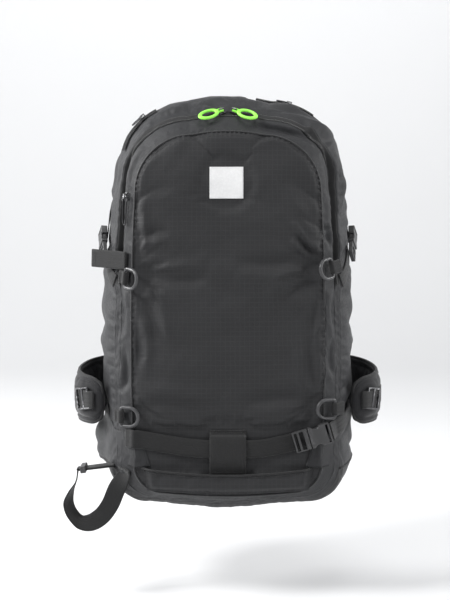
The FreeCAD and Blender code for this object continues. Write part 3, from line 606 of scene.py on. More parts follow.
# Folds on both sides: points (y, z), half width, height, lean.
SIDE_FOLDS = [
    ([(-150, 330), (-110, 352), (-60, 396), (-20, 416)], 9.0, -4.0, 1),
    ([(-140, 300), (-96, 318), (-44, 330), (-8, 330)], 9.0, -3.0, -1),
    ([(-132, 250), (-90, 236), (-40, 240), (-6, 232)], 12.0, -3.0, 1),
    ([(-130, 470), (-100, 430), (-96, 380)], 9.0, -3.0, -1),
    ([(-60, 500), (-56, 450), (-72, 400)], 12.0, -3.0, 1),
    ([(-140, 180), (-96, 196), (-44, 192), (-4, 198)], 10.0, -3.2, 1),
    ([(-150, 120), (-110, 130), (-60, 124), (-10, 120)], 9.0, -3.4, -1),
    ([(-120, 66), (-80, 60), (-30, 66)], 8.0, -2.8, 1),
]


def fold_field(XY, folds):
    """Sum of the folds' heights at points (n, 2)."""
    out = np.zeros(len(XY))
    for pts, half, height, lean in folds:
        c = spline(np.array(pts, float), 6.0)
        a, b = c[:-1], c[1:]
        lo, hi = c.min(0) - 4 * half, c.max(0) + 4 * half
        near = np.all((XY > lo) & (XY < hi), axis=1)
        if not near.any():
            continue
        q = XY[near]
        ab = b - a
        L = np.sum(ab * ab, 1)
        t = np.clip(np.einsum("nsk,sk->ns", q[:, None] - a[None], ab) / L, 0, 1)
        foot = a[None] + t[..., None] * ab[None]
        off = q[:, None] - foot
        d = np.linalg.norm(off, axis=2)
        k = d.argmin(1)
        i = np.arange(len(q))
        cross = ab[k, 0] * off[i, k, 1] - ab[k, 1] * off[i, k, 0]
        sd = d[i, k] * np.sign(cross)
        run = (k + t[i, k]) / len(a)
        taper = np.sin(np.pi * np.clip(run, 0.001, 0.999)) ** 0.6
        g = bell(sd, 0, half)
        if lean:
            g = g - 0.75 * bell(sd, lean * 1.9 * half, 1.2 * half)
        out[near] += height * taper * g
    return out


def cloth(P, N, edge):
    """How far the cloth stands off its base surface; edge is the distance to the nearest seam."""
    flat = P.reshape(-1, 3)
    n = N.reshape(-1, 3)
    e = np.broadcast_to(edge, P.shape[:-1]).reshape(-1)
    free = smooth01(e / 16.0)
    h = waves(flat, 150.0, 5) * 2.0 + waves(flat, 62.0, 9) * 1.1 + waves(flat, 26.0, 12) * 0.30
    h = h * (0.25 + 0.75 * free)
    pucker = waves(flat, 11.0, 21) * 0.45 + waves(flat, 6.0, 23) * 0.18
    h += pucker * np.exp(-e / 7.0)
    front = smooth01((-flat[:, 1] - 70) / 50)
    h += 2.1 * fold_field(flat[:, [0, 2]], FOLDS) * front * (0.35 + 0.65 * free)
    side = smooth01((np.abs(flat[:, 0]) - 146) / 10) * smooth01((np.abs(n[:, 0]) - 0.5) / 0.3)
    for fold in SIDE_FOLDS:
        h += fold_field(flat[:, [1, 2]], [fold]) * side
    return h.reshape(P.shape[:-1])


SKIN_T = np.linspace(0, 5, 101)
SKIN = np.array([ring(t)[::2] for t in SKIN_T])
SKIN_N = grid_normals(SKIN, True)
SKIN_FLAT, SKIN_NF = SKIN.reshape(-1, 3), SKIN_N.reshape(-1, 3)
FRONT_N = unit([0, -1, 0.0547])


def on_skin(p, clear=0.0):
    """The point standing clear of the plain skin beside p, and the normal there."""
    p = np.asarray(p, float)
    d = np.linalg.norm(SKIN_FLAT - p, axis=1)
    k = d.argmin()
    if abs(p[0]) < 124 and 24 < p[2] < 500 and abs(p[1] - front_y(p[2])) < d[k]:
        return np.array([p[0], front_y(p[2]), p[2]]) + FRONT_N * clear, FRONT_N
    n = SKIN_NF[k]
    q = p - n * ((p - SKIN_FLAT[k]) @ n)
    return q + n * clear, n


def hug(points, clear, width, step=8.0):
    """Strap stations lying on the skin past the given points."""
    fine = spline(np.array(points, float), step)
    held = [on_skin(p, clear) for p in fine]
    c = np.array([p for p, _ in held])
    t = tangents(c)
    return [(p, width, np.cross(n, tt)) for (p, n), tt in zip(held, t)]


def put(ob, body, slot, *nodes):
    """Fix a finished piece to a body and hide the CAD nodes it stands for; slot is not used."""
    if body:
        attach(ob, body)
    if nodes:
        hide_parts(*nodes)
    return ob


def webbing(name, path, thick=1.8, nodes=(), body="pack", **how):
    return put(strap(name, path, thick, **how), body, "webbing", *nodes)


def binding(name, line, radius, body="pack", **how):
    return put(tube(name, line, radius, BIND, **how), body, "binding")


def over_fold(ob, slot, *nodes):
    """As put(), for cloth that crosses the lid's fold: baked where it lies and fixed to no body."""
    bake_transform(ob)
    return put(ob, None, slot, *nodes)


def stitches(name, runs, pitch=3.4, radius=0.28, mat=None):
    """Short thread dashes along each run of (n, 3) points, five-sided and narrower at their ends."""
    V, F = [], []
    turn = np.linspace(0, TAU, 5, endpoint=False)
    for run in runs:
        c = spline(run, 1.0)
        s = along(c)
        for start in np.arange(pitch * 0.3, s[-1] - pitch * 0.7, pitch):
            a, b = (np.array([np.interp(v, s, c[:, i]) for i in range(3)])
                    for v in (start, start + pitch * 0.68))
            t = unit(b - a)
            n = unit(np.cross(t, [0.31, 0.72, 0.62]))
            m = np.cross(t, n)
            base = len(V)
            for p, r in ((a - t * 0.1, 0.45), (a + (b - a) * 0.2, 1.0), (a + (b - a) * 0.8, 1.0),
                         (b + t * 0.1, 0.45)):
                V += [p + radius * r * (math.cos(q) * n + math.sin(q) * m) for q in turn]
            F += closed_faces(4, 5, base=base)
    return mesh(name, V, F, mat or THREAD)


# --- where hardware lies on the cloth ---------------------------------------------------------

FRONT_STRAP = [(-118, 89, 4.8), (-90, 84, 5.0), (-55, 79, 6.5), (-20, 76.5, 7.4), (20, 76.5, 7.4),
               (42, 77, 6.4), (58, 78.8, 3.8), (78, 83, 3.6), (98, 88, 3.6)]
LEFT_STRAP = hug([(-145, -184, 91), (-131, -192, 90.5)], 5.2, WEB)
LEFT_STRAP += [(np.array([x, front_y(z) - out, z]), WEB, UP) for x, z, out in FRONT_STRAP]
RIGHT_STRAP = [(np.array([143.0, -189.0, 100.5]), WEB, (-0.28, 0, 0.955))]
RIGHT_STRAP += hug([(154, -176, 103), (163, -150, 109), (170, -118, 117)], 3.8, WEB)
# D rings: centre, outward direction, direction of the bar, side of the pack
RINGS = [((-141.0, -171.5, 312.0), (0.72, -0.69, 0), (0.10, 0, 1), -1),
         ((143.0, -170.5, 326.0), (-0.72, -0.69, 0), (-0.18, 0, 1), 1),
         ((-147.8, -178.6, 120.0), (0.72, -0.69, 0), (0, 0, 1), -1),
         ((147.8, -178.6, 131.0), (-0.72, -0.69, 0), (0, 0, 1), 1)]


def side_strap_paths(side):
    """Stations of a side strap before and behind its buckle, and the buckle's centre."""
    c, n = on_skin((side * 180, -100, 350), 8.6)
    a = np.array([side * -0.06, 0.62, 0.78])
    a = unit(a - n * (a @ n))
    fore = hug([(side * 157, -150, 305), (side * 167, -132, 317), c - a * 11], 2.6, NARROW_WEB)
    rear = hug([c + a * 21, (side * 172, -52, 392), (side * 168, -22, 412)], 2.6, NARROW_WEB)
    return fore, rear, c


SMALL_ZIPS = (("goggle", [(40, -84, 560), (66, -84, 560), (96, -84, 556), (122, -82, 541)]),
              ("shoulder", [(-104, -98, 546), (-122, -98, 532), (-140, -97, 510), (-150, -96, 484)]))
SMALL_TAPE = 14                                 # width of their tapes
# Spots (x, y, z, radius) where hardware presses the cloth flat, and where straps draw it up.
PRESS, LIFT = [], []
for _, pts in SMALL_ZIPS:
    PRESS += [(*p, 8) for p, _, _ in hug(pts, 0.0, SMALL_TAPE)]
for path, r in ((LEFT_STRAP, 16), (RIGHT_STRAP, 15)):
    PRESS += [(*p, r) for p, _, _ in path]
for side, _ in SIDES:
    fore, rear, centre = side_strap_paths(side)
    PRESS += [(*p, 12) for p, _, _ in fore + rear] + [(*centre, 24)]
    LIFT += [(*p, 8) for p, _, _ in fore + rear]
for c, out, _, side in RINGS:
    bow = np.array([-side * 0.9, -0.36, -0.1])
    PRESS += [(*(np.array(c) + bow * k), 15) for k in (0, 10, 22)]
    PRESS += [(*(np.array(c) - unit(out) * 10), 10)]
# the ski loop's start, the strap keeper and the front strap's right end
PRESS += [(-146, -175, 42, 15), (-150, -174, 30, 14), (-141, -166, 335, 16), (-175, -140, 335, 14),
          (120, -180, 95, 16), (134, -186, 98, 16)]
# the keeper's sewn ends
PRESS += [(x, front_y(z), z, 10) for x in (-20, 0, 20) for z in (42, 48, 54, 60, 94, 101)]
for s, _ in SIDES:
    # the main zip's sliders all along their run, their pulls, and the load lifters' ends
    PRESS += [(s * x, -145 - 0.02 * x, 540.5 - 0.0013 * x * x, 9 if x < 60 else 13)
              for x in range(8, 100, 10)]
    PRESS += [(s * 20, -150, 534, 11)]
    PRESS += [(s * 70, y, 544, 13) for y in (-8, -20, -28)]
    LIFT += [(*on_skin((s * 70, y, 560))[0], 9) for y in (-10, -18, -26)]
# sliders and pulls of the small zips
PRESS += [(88, -84, 556, 9), (74, -84, 556, 7), (-120, -98, 532, 8), (-128, -98, 522, 7),
          (-150, -166, 424, 8), (-150, -166, 404, 7)]
PRESS, LIFT = np.array(PRESS, float), np.array(LIFT, float)


def press_gap(P, spots=PRESS):
    """Distance from each point to the nearest hardware lying on the cloth."""
    v = P.reshape(-1, 3)
    near = np.full(len(v), 99.0)
    for p in spots:
        near = np.minimum(near, np.linalg.norm(v - p[:3], axis=1) - p[3])
    return near.reshape(P.shape[:-1])


def pressed(P, h, flat=0.2):
    """Keep the cloth low wherever hardware lies on it."""
    k = 1 - smooth01(press_gap(P) / 9.0)
    return h * (1 - k) + np.minimum(h, flat) * k


ZIP_IN, ZIP_OUT = 0.94, 1.34                    # the zip's stations
ZIP_ROWS = 10                                   # rows of cloth across the zip's slot
ZIP_FOOT = (290, 320)                           # heights over which the zip's slot starts
U_LEN = along(ring(0.6))


def slot_depth(P):
    """How open the zip's slot is: wide down both sides, shut under its flap over the top."""
    z = P[..., 2]
    return smooth01((z - 318) / 26) * smooth01((492 - z) / 30)


def zipped(z):
    """1 where the zip runs, 0 low on the sides, where one cloth runs on into the other."""
    low, high = ZIP_FOOT
    return smooth01((z - low) / (high - low))


SEAM = ring(0.0)


def seam_distance(P):
    """Distance from points on the front panel to its seam, seen from the front."""
    v = P.reshape(-1, 3)[:, [0, 2]]
    s = SEAM[::4][:, [0, 2]]
    d = np.sqrt(((v[:, None, :] - s[None]) ** 2).sum(2)).min(1)
    return d.reshape(P.shape[:-1])


def panel_rise(P):
    """How far the front panel's cloth stands off its plane."""
    N = np.broadcast_to(FRONT_N, P.shape)
    e = seam_distance(P)
    z = P[..., 2]
    h = cloth(P, N, e)
    up = smooth01((z - 100) / 110)
    h += (9.0 * smooth01(e / 75.0) + 1.5 * smooth01(e / 14.0)) * (0.15 + 0.85 * up)
    h = pressed(P, h)
    low = smooth01((z - 44) / 8) * smooth01((114 - z) / 12)
    h = np.where(h > 0.3, h * (1 - low) + 0.3 * low, h)
    h -= 1.2 * bell(e, 0, 1.5)
    return h


PANEL = {}                                      # what make_panel() leaves for the other pieces
PANEL_CAP, SIDE_CAP, PAD_CAP = 5.0, 2.5, 2.2    # how far relaxing may move each kind of cloth


def panel_point(x, z, clear=0.0):
    """Point standing clear of the finished front panel."""
    x, z = np.broadcast_arrays(np.asarray(x, float), np.asarray(z, float))
    out = np.empty(x.shape + (3,))
    tree, pts = PANEL["tree"], PANEL["points"]
    for i in np.ndindex(x.shape):
        near = tree.find_n((x[i], z[i], 0.0), 5)
        w = np.array([1 / (d + 0.2) ** 2 for _, _, d in near])
        off = np.array([pts[k][1] - front_y(pts[k][2]) for _, k, _ in near])
        out[i] = (x[i], front_y(z[i]) + (w * off).sum() / w.sum(), z[i])
    return out + FRONT_N * clear


def edge_points(c, n):
    """n points evenly spaced along an open polyline."""
    s = along(c)
    t = np.linspace(0, s[-1], n)
    return np.stack([np.interp(t, s, c[:, i]) for i in range(c.shape[1])], 1)


def panel_patch(nu=110, nv=176):
    """Regular patch of the front panel between four stretches of its seam."""
    m = len(SEAM)
    foot, shoulder = SPLIT[0] + SPLIT[1] // 2, SPLIT[0] + SPLIT[1] + SPLIT[2] + SPLIT[3] // 2
    s = SEAM
    bottom = edge_points(np.vstack([s[m - foot:], s[:foot + 1]]), nu)
    right = edge_points(s[foot:shoulder + 1], nv)
    top = edge_points(s[shoulder:m - shoulder + 1], nu)[::-1]
    left = edge_points(s[m - shoulder:m - foot + 1], nv)[::-1]
    u = np.linspace(0, 1, nu)[None, :, None]
    v = np.linspace(0, 1, nv)[:, None, None]
    P = (1 - v) * bottom[None] + v * top[None] + (1 - u) * left[:, None] + u * right[:, None]
    P -= ((1 - u) * (1 - v) * bottom[0] + u * (1 - v) * bottom[-1]
          + (1 - u) * v * top[0] + u * v * top[-1])
    P[..., 1] = front_y(P[..., 2])
    return P


def relax(P, faces, pin, frames=16, spare=-0.035, push=2.5):
    """Let the cloth settle: pinned by the given weights, slightly oversize, with air behind it."""
    scale = 10.0                                # the solver behaves better on a larger cloth
    ob = add_object("relaxing", raw_mesh("relaxing", P.reshape(-1, 3) * S * scale, faces))
    group = ob.vertex_groups.new(name="pin")
    for w in np.unique(np.round(pin, 2)):
        group.add([int(i) for i in np.nonzero(np.round(pin, 2) == w)[0]], float(w), "REPLACE")
    c = ob.modifiers.new("cloth", "CLOTH")
    k = c.settings
    for key, value in dict(
            quality=5, mass=0.25, tension_stiffness=18.0, compression_stiffness=18.0, shear_stiffness=6.0,
            bending_stiffness=0.6, bending_damping=1.0, vertex_group_mass="pin", pin_stiffness=3.0,
            shrink_min=spare, use_pressure=True, uniform_pressure_force=push).items():
        setattr(k, key, value)
    k.effector_weights.gravity = 0.0
    c.collision_settings.use_collision = c.collision_settings.use_self_collision = False
    c.point_cache.frame_start, c.point_cache.frame_end = 1, frames
    scene = bpy.context.scene
    scene.frame_start, scene.frame_end = 1, frames
    for f in range(1, frames + 1):
        scene.frame_set(f)
    done = ob.evaluated_get(bpy.context.evaluated_depsgraph_get()).to_mesh()
    co = np.empty(len(done.vertices) * 3)
    done.vertices.foreach_get("co", co)
    scene.frame_set(1)
    bpy.data.objects.remove(ob)
    return co.reshape(P.shape) / S / scale


def make_panel():
    """The finished front panel: folded, settled, and kept for the pieces that lie on it."""
    P0 = panel_patch()
    nv, nu = P0.shape[:2]
    P = P0 + FRONT_N * panel_rise(P0)[..., None]
    faces = grid_faces(nv, nu)
    e = seam_distance(P0)
    z, x = P0[..., 2], P0[..., 0]
    hold = 1 - smooth01(press_gap(P0) / 12)
    hold = np.maximum(hold, smooth01((z - 42) / 8) * smooth01((112 - z) / 12))
    by_label = smooth01((48 - np.hypot(x + 2, z - 442)) / 26)
    hold = np.maximum(hold, 0.7 * by_label)
    pin = np.maximum(hold * 0.9, (e < 0.4) * 1.0).reshape(-1)
    Q = relax(P, faces, pin)
    d = (Q - P) @ FRONT_N
    soft = PANEL_CAP * np.tanh(d / PANEL_CAP) * (1 - hold) * smooth01(e / 9.0)
    side = (Q - P) - FRONT_N * d[..., None]
    side = np.clip(side, -SIDE_CAP, SIDE_CAP) * ((1 - hold) * smooth01(e / 12.0))[..., None]
    P = P + FRONT_N * soft[..., None] + side
    v = P.reshape(-1, 3)
    tree = KDTree(len(v))
    for i, p in enumerate(v):
        tree.insert((p[0], p[2], 0.0), i)
    tree.balance()
    PANEL.update(tree=tree, points=v, flat=P0, faces=faces)


def swell(P):
    """Where the loaded bag hangs fuller than its pattern: under the base and at the corners."""
    x, y, z = P[..., 0], P[..., 1], P[..., 2]
    out = P.copy()
    deep = smooth01((y + 186) / 34) * smooth01((-y - 2) / 40)
    out[..., 2] -= 12.0 * smooth01((48 - z) / 44) * deep
    k = bell(z, 26, 34) * deep * smooth01((np.abs(x) - 84) / 40)
    out[..., 0] += np.sign(x) * 9.0 * k
    deep = bell(y, -84, 50, 4)
    out[..., 2] += 0.6 * smooth01((z - 500) / 40) * deep
    out[..., 0] += 4.5 * smooth01((z - 470) / 60) * smooth01((x - 30) / 50) * deep
    out[..., 0] += 4.5 * bell(z, 455, 60) * smooth01((-x - 60) / 50) * deep
    return out


def band_rows():
    """The lid's band, from the front seam back to the zip."""
    ts = np.concatenate([[0.0, 0.02], np.linspace(0.06, ZIP_IN, 16)])
    P = np.array([ring(t) for t in ts])
    N = grid_normals(P, True)
    N[0] = unit(N[0] + FRONT_N)
    e = np.minimum(ts * 16, (ZIP_IN - ts) * 16 + 2)[:, None]
    h = pressed(P, cloth(P, N, e))
    h[0] = -0.6
    w = np.array([0.15, 0.5, 0.85, 1.0])[:, None]
    h[-4:] -= slot_depth(P[-4:]) * w * 1.8
    h[-1] -= 0.2 + 0.8 * zipped(P[-1, :, 2])
    return swell(P + N * h[..., None]), N


# Where the load fills the sides out: height, side, least distance from the middle, then the
# middle, half size and steepness upwards and the middle and half size along y.
BULGES = ((19.0, -1, 120, 70, 27, 4, -62, 44), (6.0, 1, 60, 60, 40, 2, -90, 44),
          (5.0, 1, 40, 486, 52, 2, -88, 46))
LIFTED = 1.4                                    # how far straps hold the cloth up beside them


def side_rows():
    """Everything behind the zip, out to the back edge."""
    ts = np.concatenate([np.linspace(ZIP_IN, ZIP_OUT, 10), np.linspace(1.40, 4.9, 70), [4.95, 5.0]])
    P = np.array([ring(t) for t in ts])
    N = grid_normals(P, True)
    depth = np.abs(P[:, 200, 1] - P[0, 200, 1])
    edge = np.minimum(np.maximum(depth - 8, 0), depth[-1] - depth)[:, None]
    h = cloth(P, N, edge)
    x, y, z = P[..., 0], P[..., 1], P[..., 2]
    for height, side, beyond, z_mid, z_half, power, y_mid, y_half in BULGES:
        h += height * bell(z, z_mid, z_half, power) * bell(y, y_mid, y_half) * (side * x > beyond)
    h = pressed(P, h)
    k = 1 - smooth01(press_gap(P, LIFT) / 10.0)
    h = h * (1 - k) + LIFTED * k
    d = depth[:, None]
    open_ = slot_depth(P)
    h -= bell(d, 3.2, 3.0, 4) * (6.5 * open_ + 0.15 + 0.85 * zipped(z))
    h += bell(d, 10.5, 3.2) * (2.4 * open_ + 0.5)
    h += smooth01((z - 470) / 30) * bell(d, 6.0, 6.0) * 1.2
    h = np.where(z > 500, pressed(P, h, -0.5), h)
    return swell(P + N * h[..., None]), N, depth


def front_and_lid():
    """The front panel, the lid's band and the seam that joins them."""
    make_panel()
    skin = mesh("front_panel_cloth", PANEL["points"], PANEL["faces"], RIP, flat_uv(PANEL["flat"]),
                thick=1.0)
    over_fold(skin, "ripstop", "front_panel", "lid_panel")

    B, BN = band_rows()
    faces = grid_faces(len(B), AROUND, True, True)
    uv = grid_uv(U_LEN[None, :], along(B[:, 200])[:, None])
    over_fold(mesh("lid_band_cloth", B, faces, GUS, uv, thick=1.0), "gusset", "lid_band")

    seam = SEAM + unit(BN[0] + FRONT_N) * 0.5
    over_fold(tube("front_piping", seam[::5], 1.3, PIPE, closed=True, up=BACK), "gusset")
    inner = SEAM.copy()
    inner[:, [0, 2]] = [0, 262] + (SEAM[:, [0, 2]] - [0, 262]) * 0.978
    top = panel_point(inner[::4, 0], inner[::4, 2], 0.25)
    over_fold(stitches("front_topstitch", [np.vstack([top, top[:1]])]), "gusset")


def settled_sides():
    """side_rows() with the cloth behind the zip relaxed on every second column."""
    P, N, depth = side_rows()
    first = ZIP_ROWS - 1
    thin = P[first:, ::2]
    hold = 1 - smooth01((press_gap(thin)) / 10)
    seam = np.minimum(depth[first:] - depth[first], depth[-1] - depth[first:])[:, None]
    hold = np.maximum(hold, 1 - smooth01((seam - 1) / 6.0))
    pin = np.maximum(0.9 * hold, np.broadcast_to(seam < 1, hold.shape) * 1.0)
    faces = grid_faces(len(thin), thin.shape[1], True, True)
    Q = relax(thin, faces, pin.reshape(-1), spare=-0.03, push=1.5)
    d = np.sum((Q - thin) * N[first:, ::2], -1)     # only the move along the normal is kept
    d = SIDE_CAP * np.tanh(d / SIDE_CAP) * (1 - hold)
    full = np.repeat(d, 2, axis=1)
    full[:, 1::2] = (d + np.roll(d, -1, axis=1)) / 2
    P[first:] += N[first:] * full[..., None]
    return P, N, depth


def side_piece(name, rows, depth, mats, seam_z, thick):
    """Rows of the sides as one piece, its second material below seam_z."""
    faces = grid_faces(len(rows), AROUND, True, True)
    ob = mesh(name, rows, faces, mats, grid_uv(U_LEN[None, :], depth[:, None]), thick)
    two_cloths(ob, rows[..., 2].reshape(-1)[faces].mean(1) < seam_z)
    return ob


def base_welt(P, name, half):
    """Binding along the seam between side and base fabric, on one half of the pack."""
    line = []
    for r in P:
        i = np.nonzero(r[:, 0] * half > 40)[0]
        i = i[r[i, 2] < 160]
        line.append(r[i[np.abs(r[i, 2] - BASE_WELT_Z).argmin()]])
    line = np.array(line)
    for _ in range(6):
        line[1:-1] = (line[:-2] + 2 * line[1:-1] + line[2:]) / 4
    binding(name, line[::3] + [half * 0.5, 0, -0.3], 1.3)


def sides():
    """The body behind the zip: tape, sides with the base, welts and the zip's coil."""
    P, N, depth = settled_sides()
    tape = side_piece("zip_tape", P[:ZIP_ROWS], depth[:ZIP_ROWS], [BIND, GUS], COIL_FOOT_Z, 1.0)
    put(tape, "pack", "binding", "zip_track")
    first = ZIP_ROWS - 1
    side = side_piece("body_cloth", P[first:], depth[first:], [GUS, BASE], BASE_SEAM_Z, 1.2)
    put(side, "pack", "gusset", "gusset_left", "gusset_right", "gusset_top", "base_panel")
    for half, word in SIDES[::-1]:
        base_welt(P[ZIP_ROWS:-2], "base_welt_" + word, half)
    run = np.nonzero(P[2][:, 2] > COIL_FOOT_Z)[0]
    coil = P[2][run]
    stand = 0.9 - 1.4 * smooth01((coil[:, 2] - 480) / 30)
    coil = coil + N[2][run] * stand[:, None]
    put(tube("zip_coil", coil[::4], 1.5, COIL, up=BACK, oval=0.6), "pack", "zip_metal")
    return P[-1]


def back_wall(rim):
    """The flat wall against the harness, closed to a point at its middle, and its binding."""
    steps = np.concatenate([[1.0, 0.99, 0.975], np.linspace(0.95, 0.05, 16)])
    mid = np.array([0, 0, MID_Z])
    W = np.array([mid + (rim - mid) * k for k in steps])
    W[2:, :, 1] = -1.5
    F = list(grid_faces(len(steps), AROUND, True, True))
    k = (len(steps) - 1) * AROUND
    F += [(k + (i + 1) % AROUND, k + i, len(steps) * AROUND) for i in range(AROUND)]
    V = np.vstack([W.reshape(-1, 3), [(0, -1.5, MID_Z)]])
    put(mesh("back_wall_cloth", V, F, GUS, flat_uv(V)), "pack", "gusset", "back_wall")
    binding("back_binding", rim[::5], 2.4, closed=True, up=BACK)


def divider():
    """The wall between the front compartment and the airbag system."""
    wall = ring(3.1, 9.0)
    mid = np.array([0, -87.0, MID_Z])
    D = np.array([mid + (wall * [1, 0, 1] + [0, -87, 0] - mid) * k for k in np.linspace(1, 0.04, 26)])
    D[..., 1] += waves(D, 90.0, 31) * 1.5
    F = closed_faces(len(D), AROUND, True)
    del F[-2]                                   # open at the rim
    lining = mesh("divider_lining", D, F, LINE, flat_uv(D), thick=1.0)
    put(lining, "pack", "ripstop")


def body():
    front_and_lid()
    back_wall(sides())
    divider()


def label():
    """The woven label on the lid, sewn down all round."""
    x0, x1, z0, z1 = LABEL_BOX
    x, z = np.meshgrid(np.linspace(x0, x1, 32), np.linspace(z0, z1, 30))
    ob = mesh("label_patch", panel_point(x, z, 0.9), grid_faces(*x.shape), LABEL, grid_uv(x, z), thick=0.7)
    put(ob, "lid", "label", "label")
    hem = 1.2
    x0, x1, z0, z1 = x0 + hem, x1 - hem, z0 + hem, z1 - hem
    k = np.linspace(0, 1, 14)
    across, up = x0 + (x1 - x0) * k, z0 + (z1 - z0) * k
    runs = [panel_point(a, b, 1.1) for a, b in ((across, z0), (across, z1), (x0, up), (x1, up))]
    put(stitches("label_stitching", runs, 2.2, 0.2, LABELT), "lid", "label")


def base_pocket():
    """Storage pocket low on the front: full below, its hem a shallow smile with a gap behind."""
    U, W = np.meshgrid(np.linspace(-1, 1, 90), np.linspace(0, 1, 26))
    hem = 49.0 - 9.0 * (1 - U ** 2)
    foot = 13.0 + 5.0 * U ** 2
    z = foot + (hem - foot) * W
    side = smooth01((1 - np.abs(U)) / 0.10)
    out = 0.8 + (8.0 * smooth01(W / 0.35) + 1.6) * side
    P = np.stack([U * (112.0 + 6.0 * W), front_y(z), z], -1)
    out += waves(P, 40, 41) * 0.8 * side + waves(P, 13, 42) * 0.3
    P = P + FRONT_N * out[..., None]
    ob = mesh("base_pocket_cloth", P, grid_faces(*U.shape), RIP, flat_uv(P), thick=1.0)
    put(ob, "pack", "base", "base_pocket")
    hemline = P[-1] + FRONT_N * 0.2
    binding("pocket_binding", hemline[::3], 1.9, sides=10, oval=0.7)
    runs = [P[-1] + FRONT_N * 1.1 - [0, 0, 3.4], P[2, 4:-4] + FRONT_N * 0.5]
    put(stitches("pocket_stitching", runs), "pack", "base")


def wing_point(side, u, w):
    """A point of a compression wing: u from its inner end round the side, w from its foot up."""
    z = 50 + (48 + 32 * smooth01((u - 0.35) / 0.65)) * w
    if u < 0.28:
        x0 = 107 + 14 * w
        q = (side * (x0 + (138 - x0) * u / 0.28), front_y(z) - 3, z)
    else:
        q = (side * 185, -182 + 78 * (u - 0.28) / 0.72, z)
    return on_skin(q, 1.35 + 0.2 * math.sin(7 * u + 3 * w))[0]


def compression_wings():
    """Fabric triangles that spread the lower strap's pull over the side seams."""
    rows, cols = 16, 30
    uv = grid_uv(np.linspace(0, 100, cols)[None, :], np.linspace(0, 60, rows)[:, None])
    for side, word in SIDES:
        P = np.array([[wing_point(side, u, w) for u in np.linspace(0, 1, cols)]
                      for w in np.linspace(0, 1, rows)])
        ob = mesh("compression_wing_" + word, P, grid_faces(rows, cols, flip=side < 0), GUS, uv, thick=0.9)
        put(ob, "pack", "gusset", *first_only("compression_wings", side))
        off = unit([side * 0.5, -0.85, 0]) * 0.4
        put(stitches("wing_stitching_" + word, [r + off for r in (P[:, 1], P[-1], P[0])]), "pack", "gusset")


def front_webbing():
    """The lower front strap from both sides, and the keeper it runs through."""
    webbing("front_strap_left", LEFT_STRAP, nodes=["front_strap"], cup=-0.2, ripple=0.35)
    webbing("front_strap_right", RIGHT_STRAP, ripple=0.1, seed=5)
    # keeper: one wide webbing tab sewn above and below, bridging over the strap
    rise = [(41.0, 2.2), (46, 2.9), (51, 5.0), (57, 8.4), (63, 10.2), (76, 11.0), (87, 10.6),
            (92.5, 8.6), (95, 4.0), (98, 1.8), (102.0, 1.6)]
    path = stations([(0, front_y(z) - d, z) for z, d in rise], 50, ACROSS)
    webbing("keeper_webbing", path, 1.9, ["keeper_loop"], ripple=0.1, step=1.0)
    runs = [np.array([(x, front_y(z) - d, z) for x in np.linspace(-22, 22, 12)])
            for z, d in ((43.6, 3.6), (98.4, 2.75), (101, 2.65))]
    put(stitches("keeper_stitching", runs, 2.6), "pack", "webbing")


def basis(x_dir, y_dir):
    """Three unit directions: along y_dir, near x_dir, and across both."""
    y = unit(y_dir)
    x = np.array(x_dir, float)
    x = unit(x - y * (x @ y))
    return x, y, np.cross(x, y)


def first_only(node, side):
    """The CAD node that both sides stand for, given with the left piece only."""
    return [node] if side < 0 else []


def ring_tabs():
    """Webbing folded round each D ring's bar and sewn flat on the side seam."""
    r = 3.75
    loop = [(-14.5, -r), (-9, -r), (-3, -r)]
    loop += [(r * math.cos(a), r * math.sin(a)) for a in np.linspace(-math.pi / 2, math.pi / 2, 9)]
    loop += [(-3.0, r - 1.2), (-6.0, -r + 2.6), (-10, -r + 1.9), (-14.5, -r + 1.9)]
    for i, (c, out, bar, _) in enumerate(RINGS):
        x, y, z = basis(out, bar)
        path = [(np.array(c) + x * a + z * b, THIN_WEB, y) for a, b in loop]
        webbing("ring_tab_%d" % i, path, 1.7, ["ring_tabs"] if i == 0 else [], step=0.8, ripple=0.0)
        runs = [np.array([np.array(c) + x * a + z * (-r + 2.9) + y * b for b in np.linspace(-7, 7, 8)])
                for a in (-12.5, -9.5)]
        put(stitches("ring_tab_stitching_%d" % i, runs, 2.4), "pack", "webbing")


def side_webbing():
    """The upper side straps, and the folded webbing end that stands out from the left seam."""
    for side, word in SIDES:
        fore, rear, _ = side_strap_paths(side)
        webbing("side_strap_front_" + word, fore, 1.5, first_only("side_straps", side), ripple=0.1)
        webbing("side_strap_rear_" + word, rear, 1.5, ripple=0.1, seed=8)
    start, n = on_skin((-141.5, -166, 335), 3.4)
    out, lean = np.array([-0.737, 0.676, 0]), (0.02, 0, 1)
    near = [(start + out * a + n * b, WEB, UP) for a, b in ((-2, -0.9), (30, 0.1))]
    tip = start + out * 62 + n * 2.4
    turn = [(start + out * 60 + n * 1.3, WEB, lean)]
    turn += [(tip + out * 1.6 * math.sin(a) + n * (-1.1 * math.cos(a)), WEB, lean) for a in (0.6, 1.57, 2.5)]
    back = [(start + out * a + n * b, WEB, UP) for a, b in ((58, 3.6), (30, 2.3), (-1, 1.3))]
    webbing("strap_keeper_webbing", near + turn + back, 1.7, ["strap_keeper"], step=1.0, ripple=0.15)
    runs = [np.array([start + out * a + n * b + np.array([0, 0, k]) for k in np.linspace(-10, 10, 8)])
            for a, b in ((56, 4.5), (60, 4.4))]
    put(stitches("strap_keeper_stitching", runs, 2.6), "pack", "webbing")


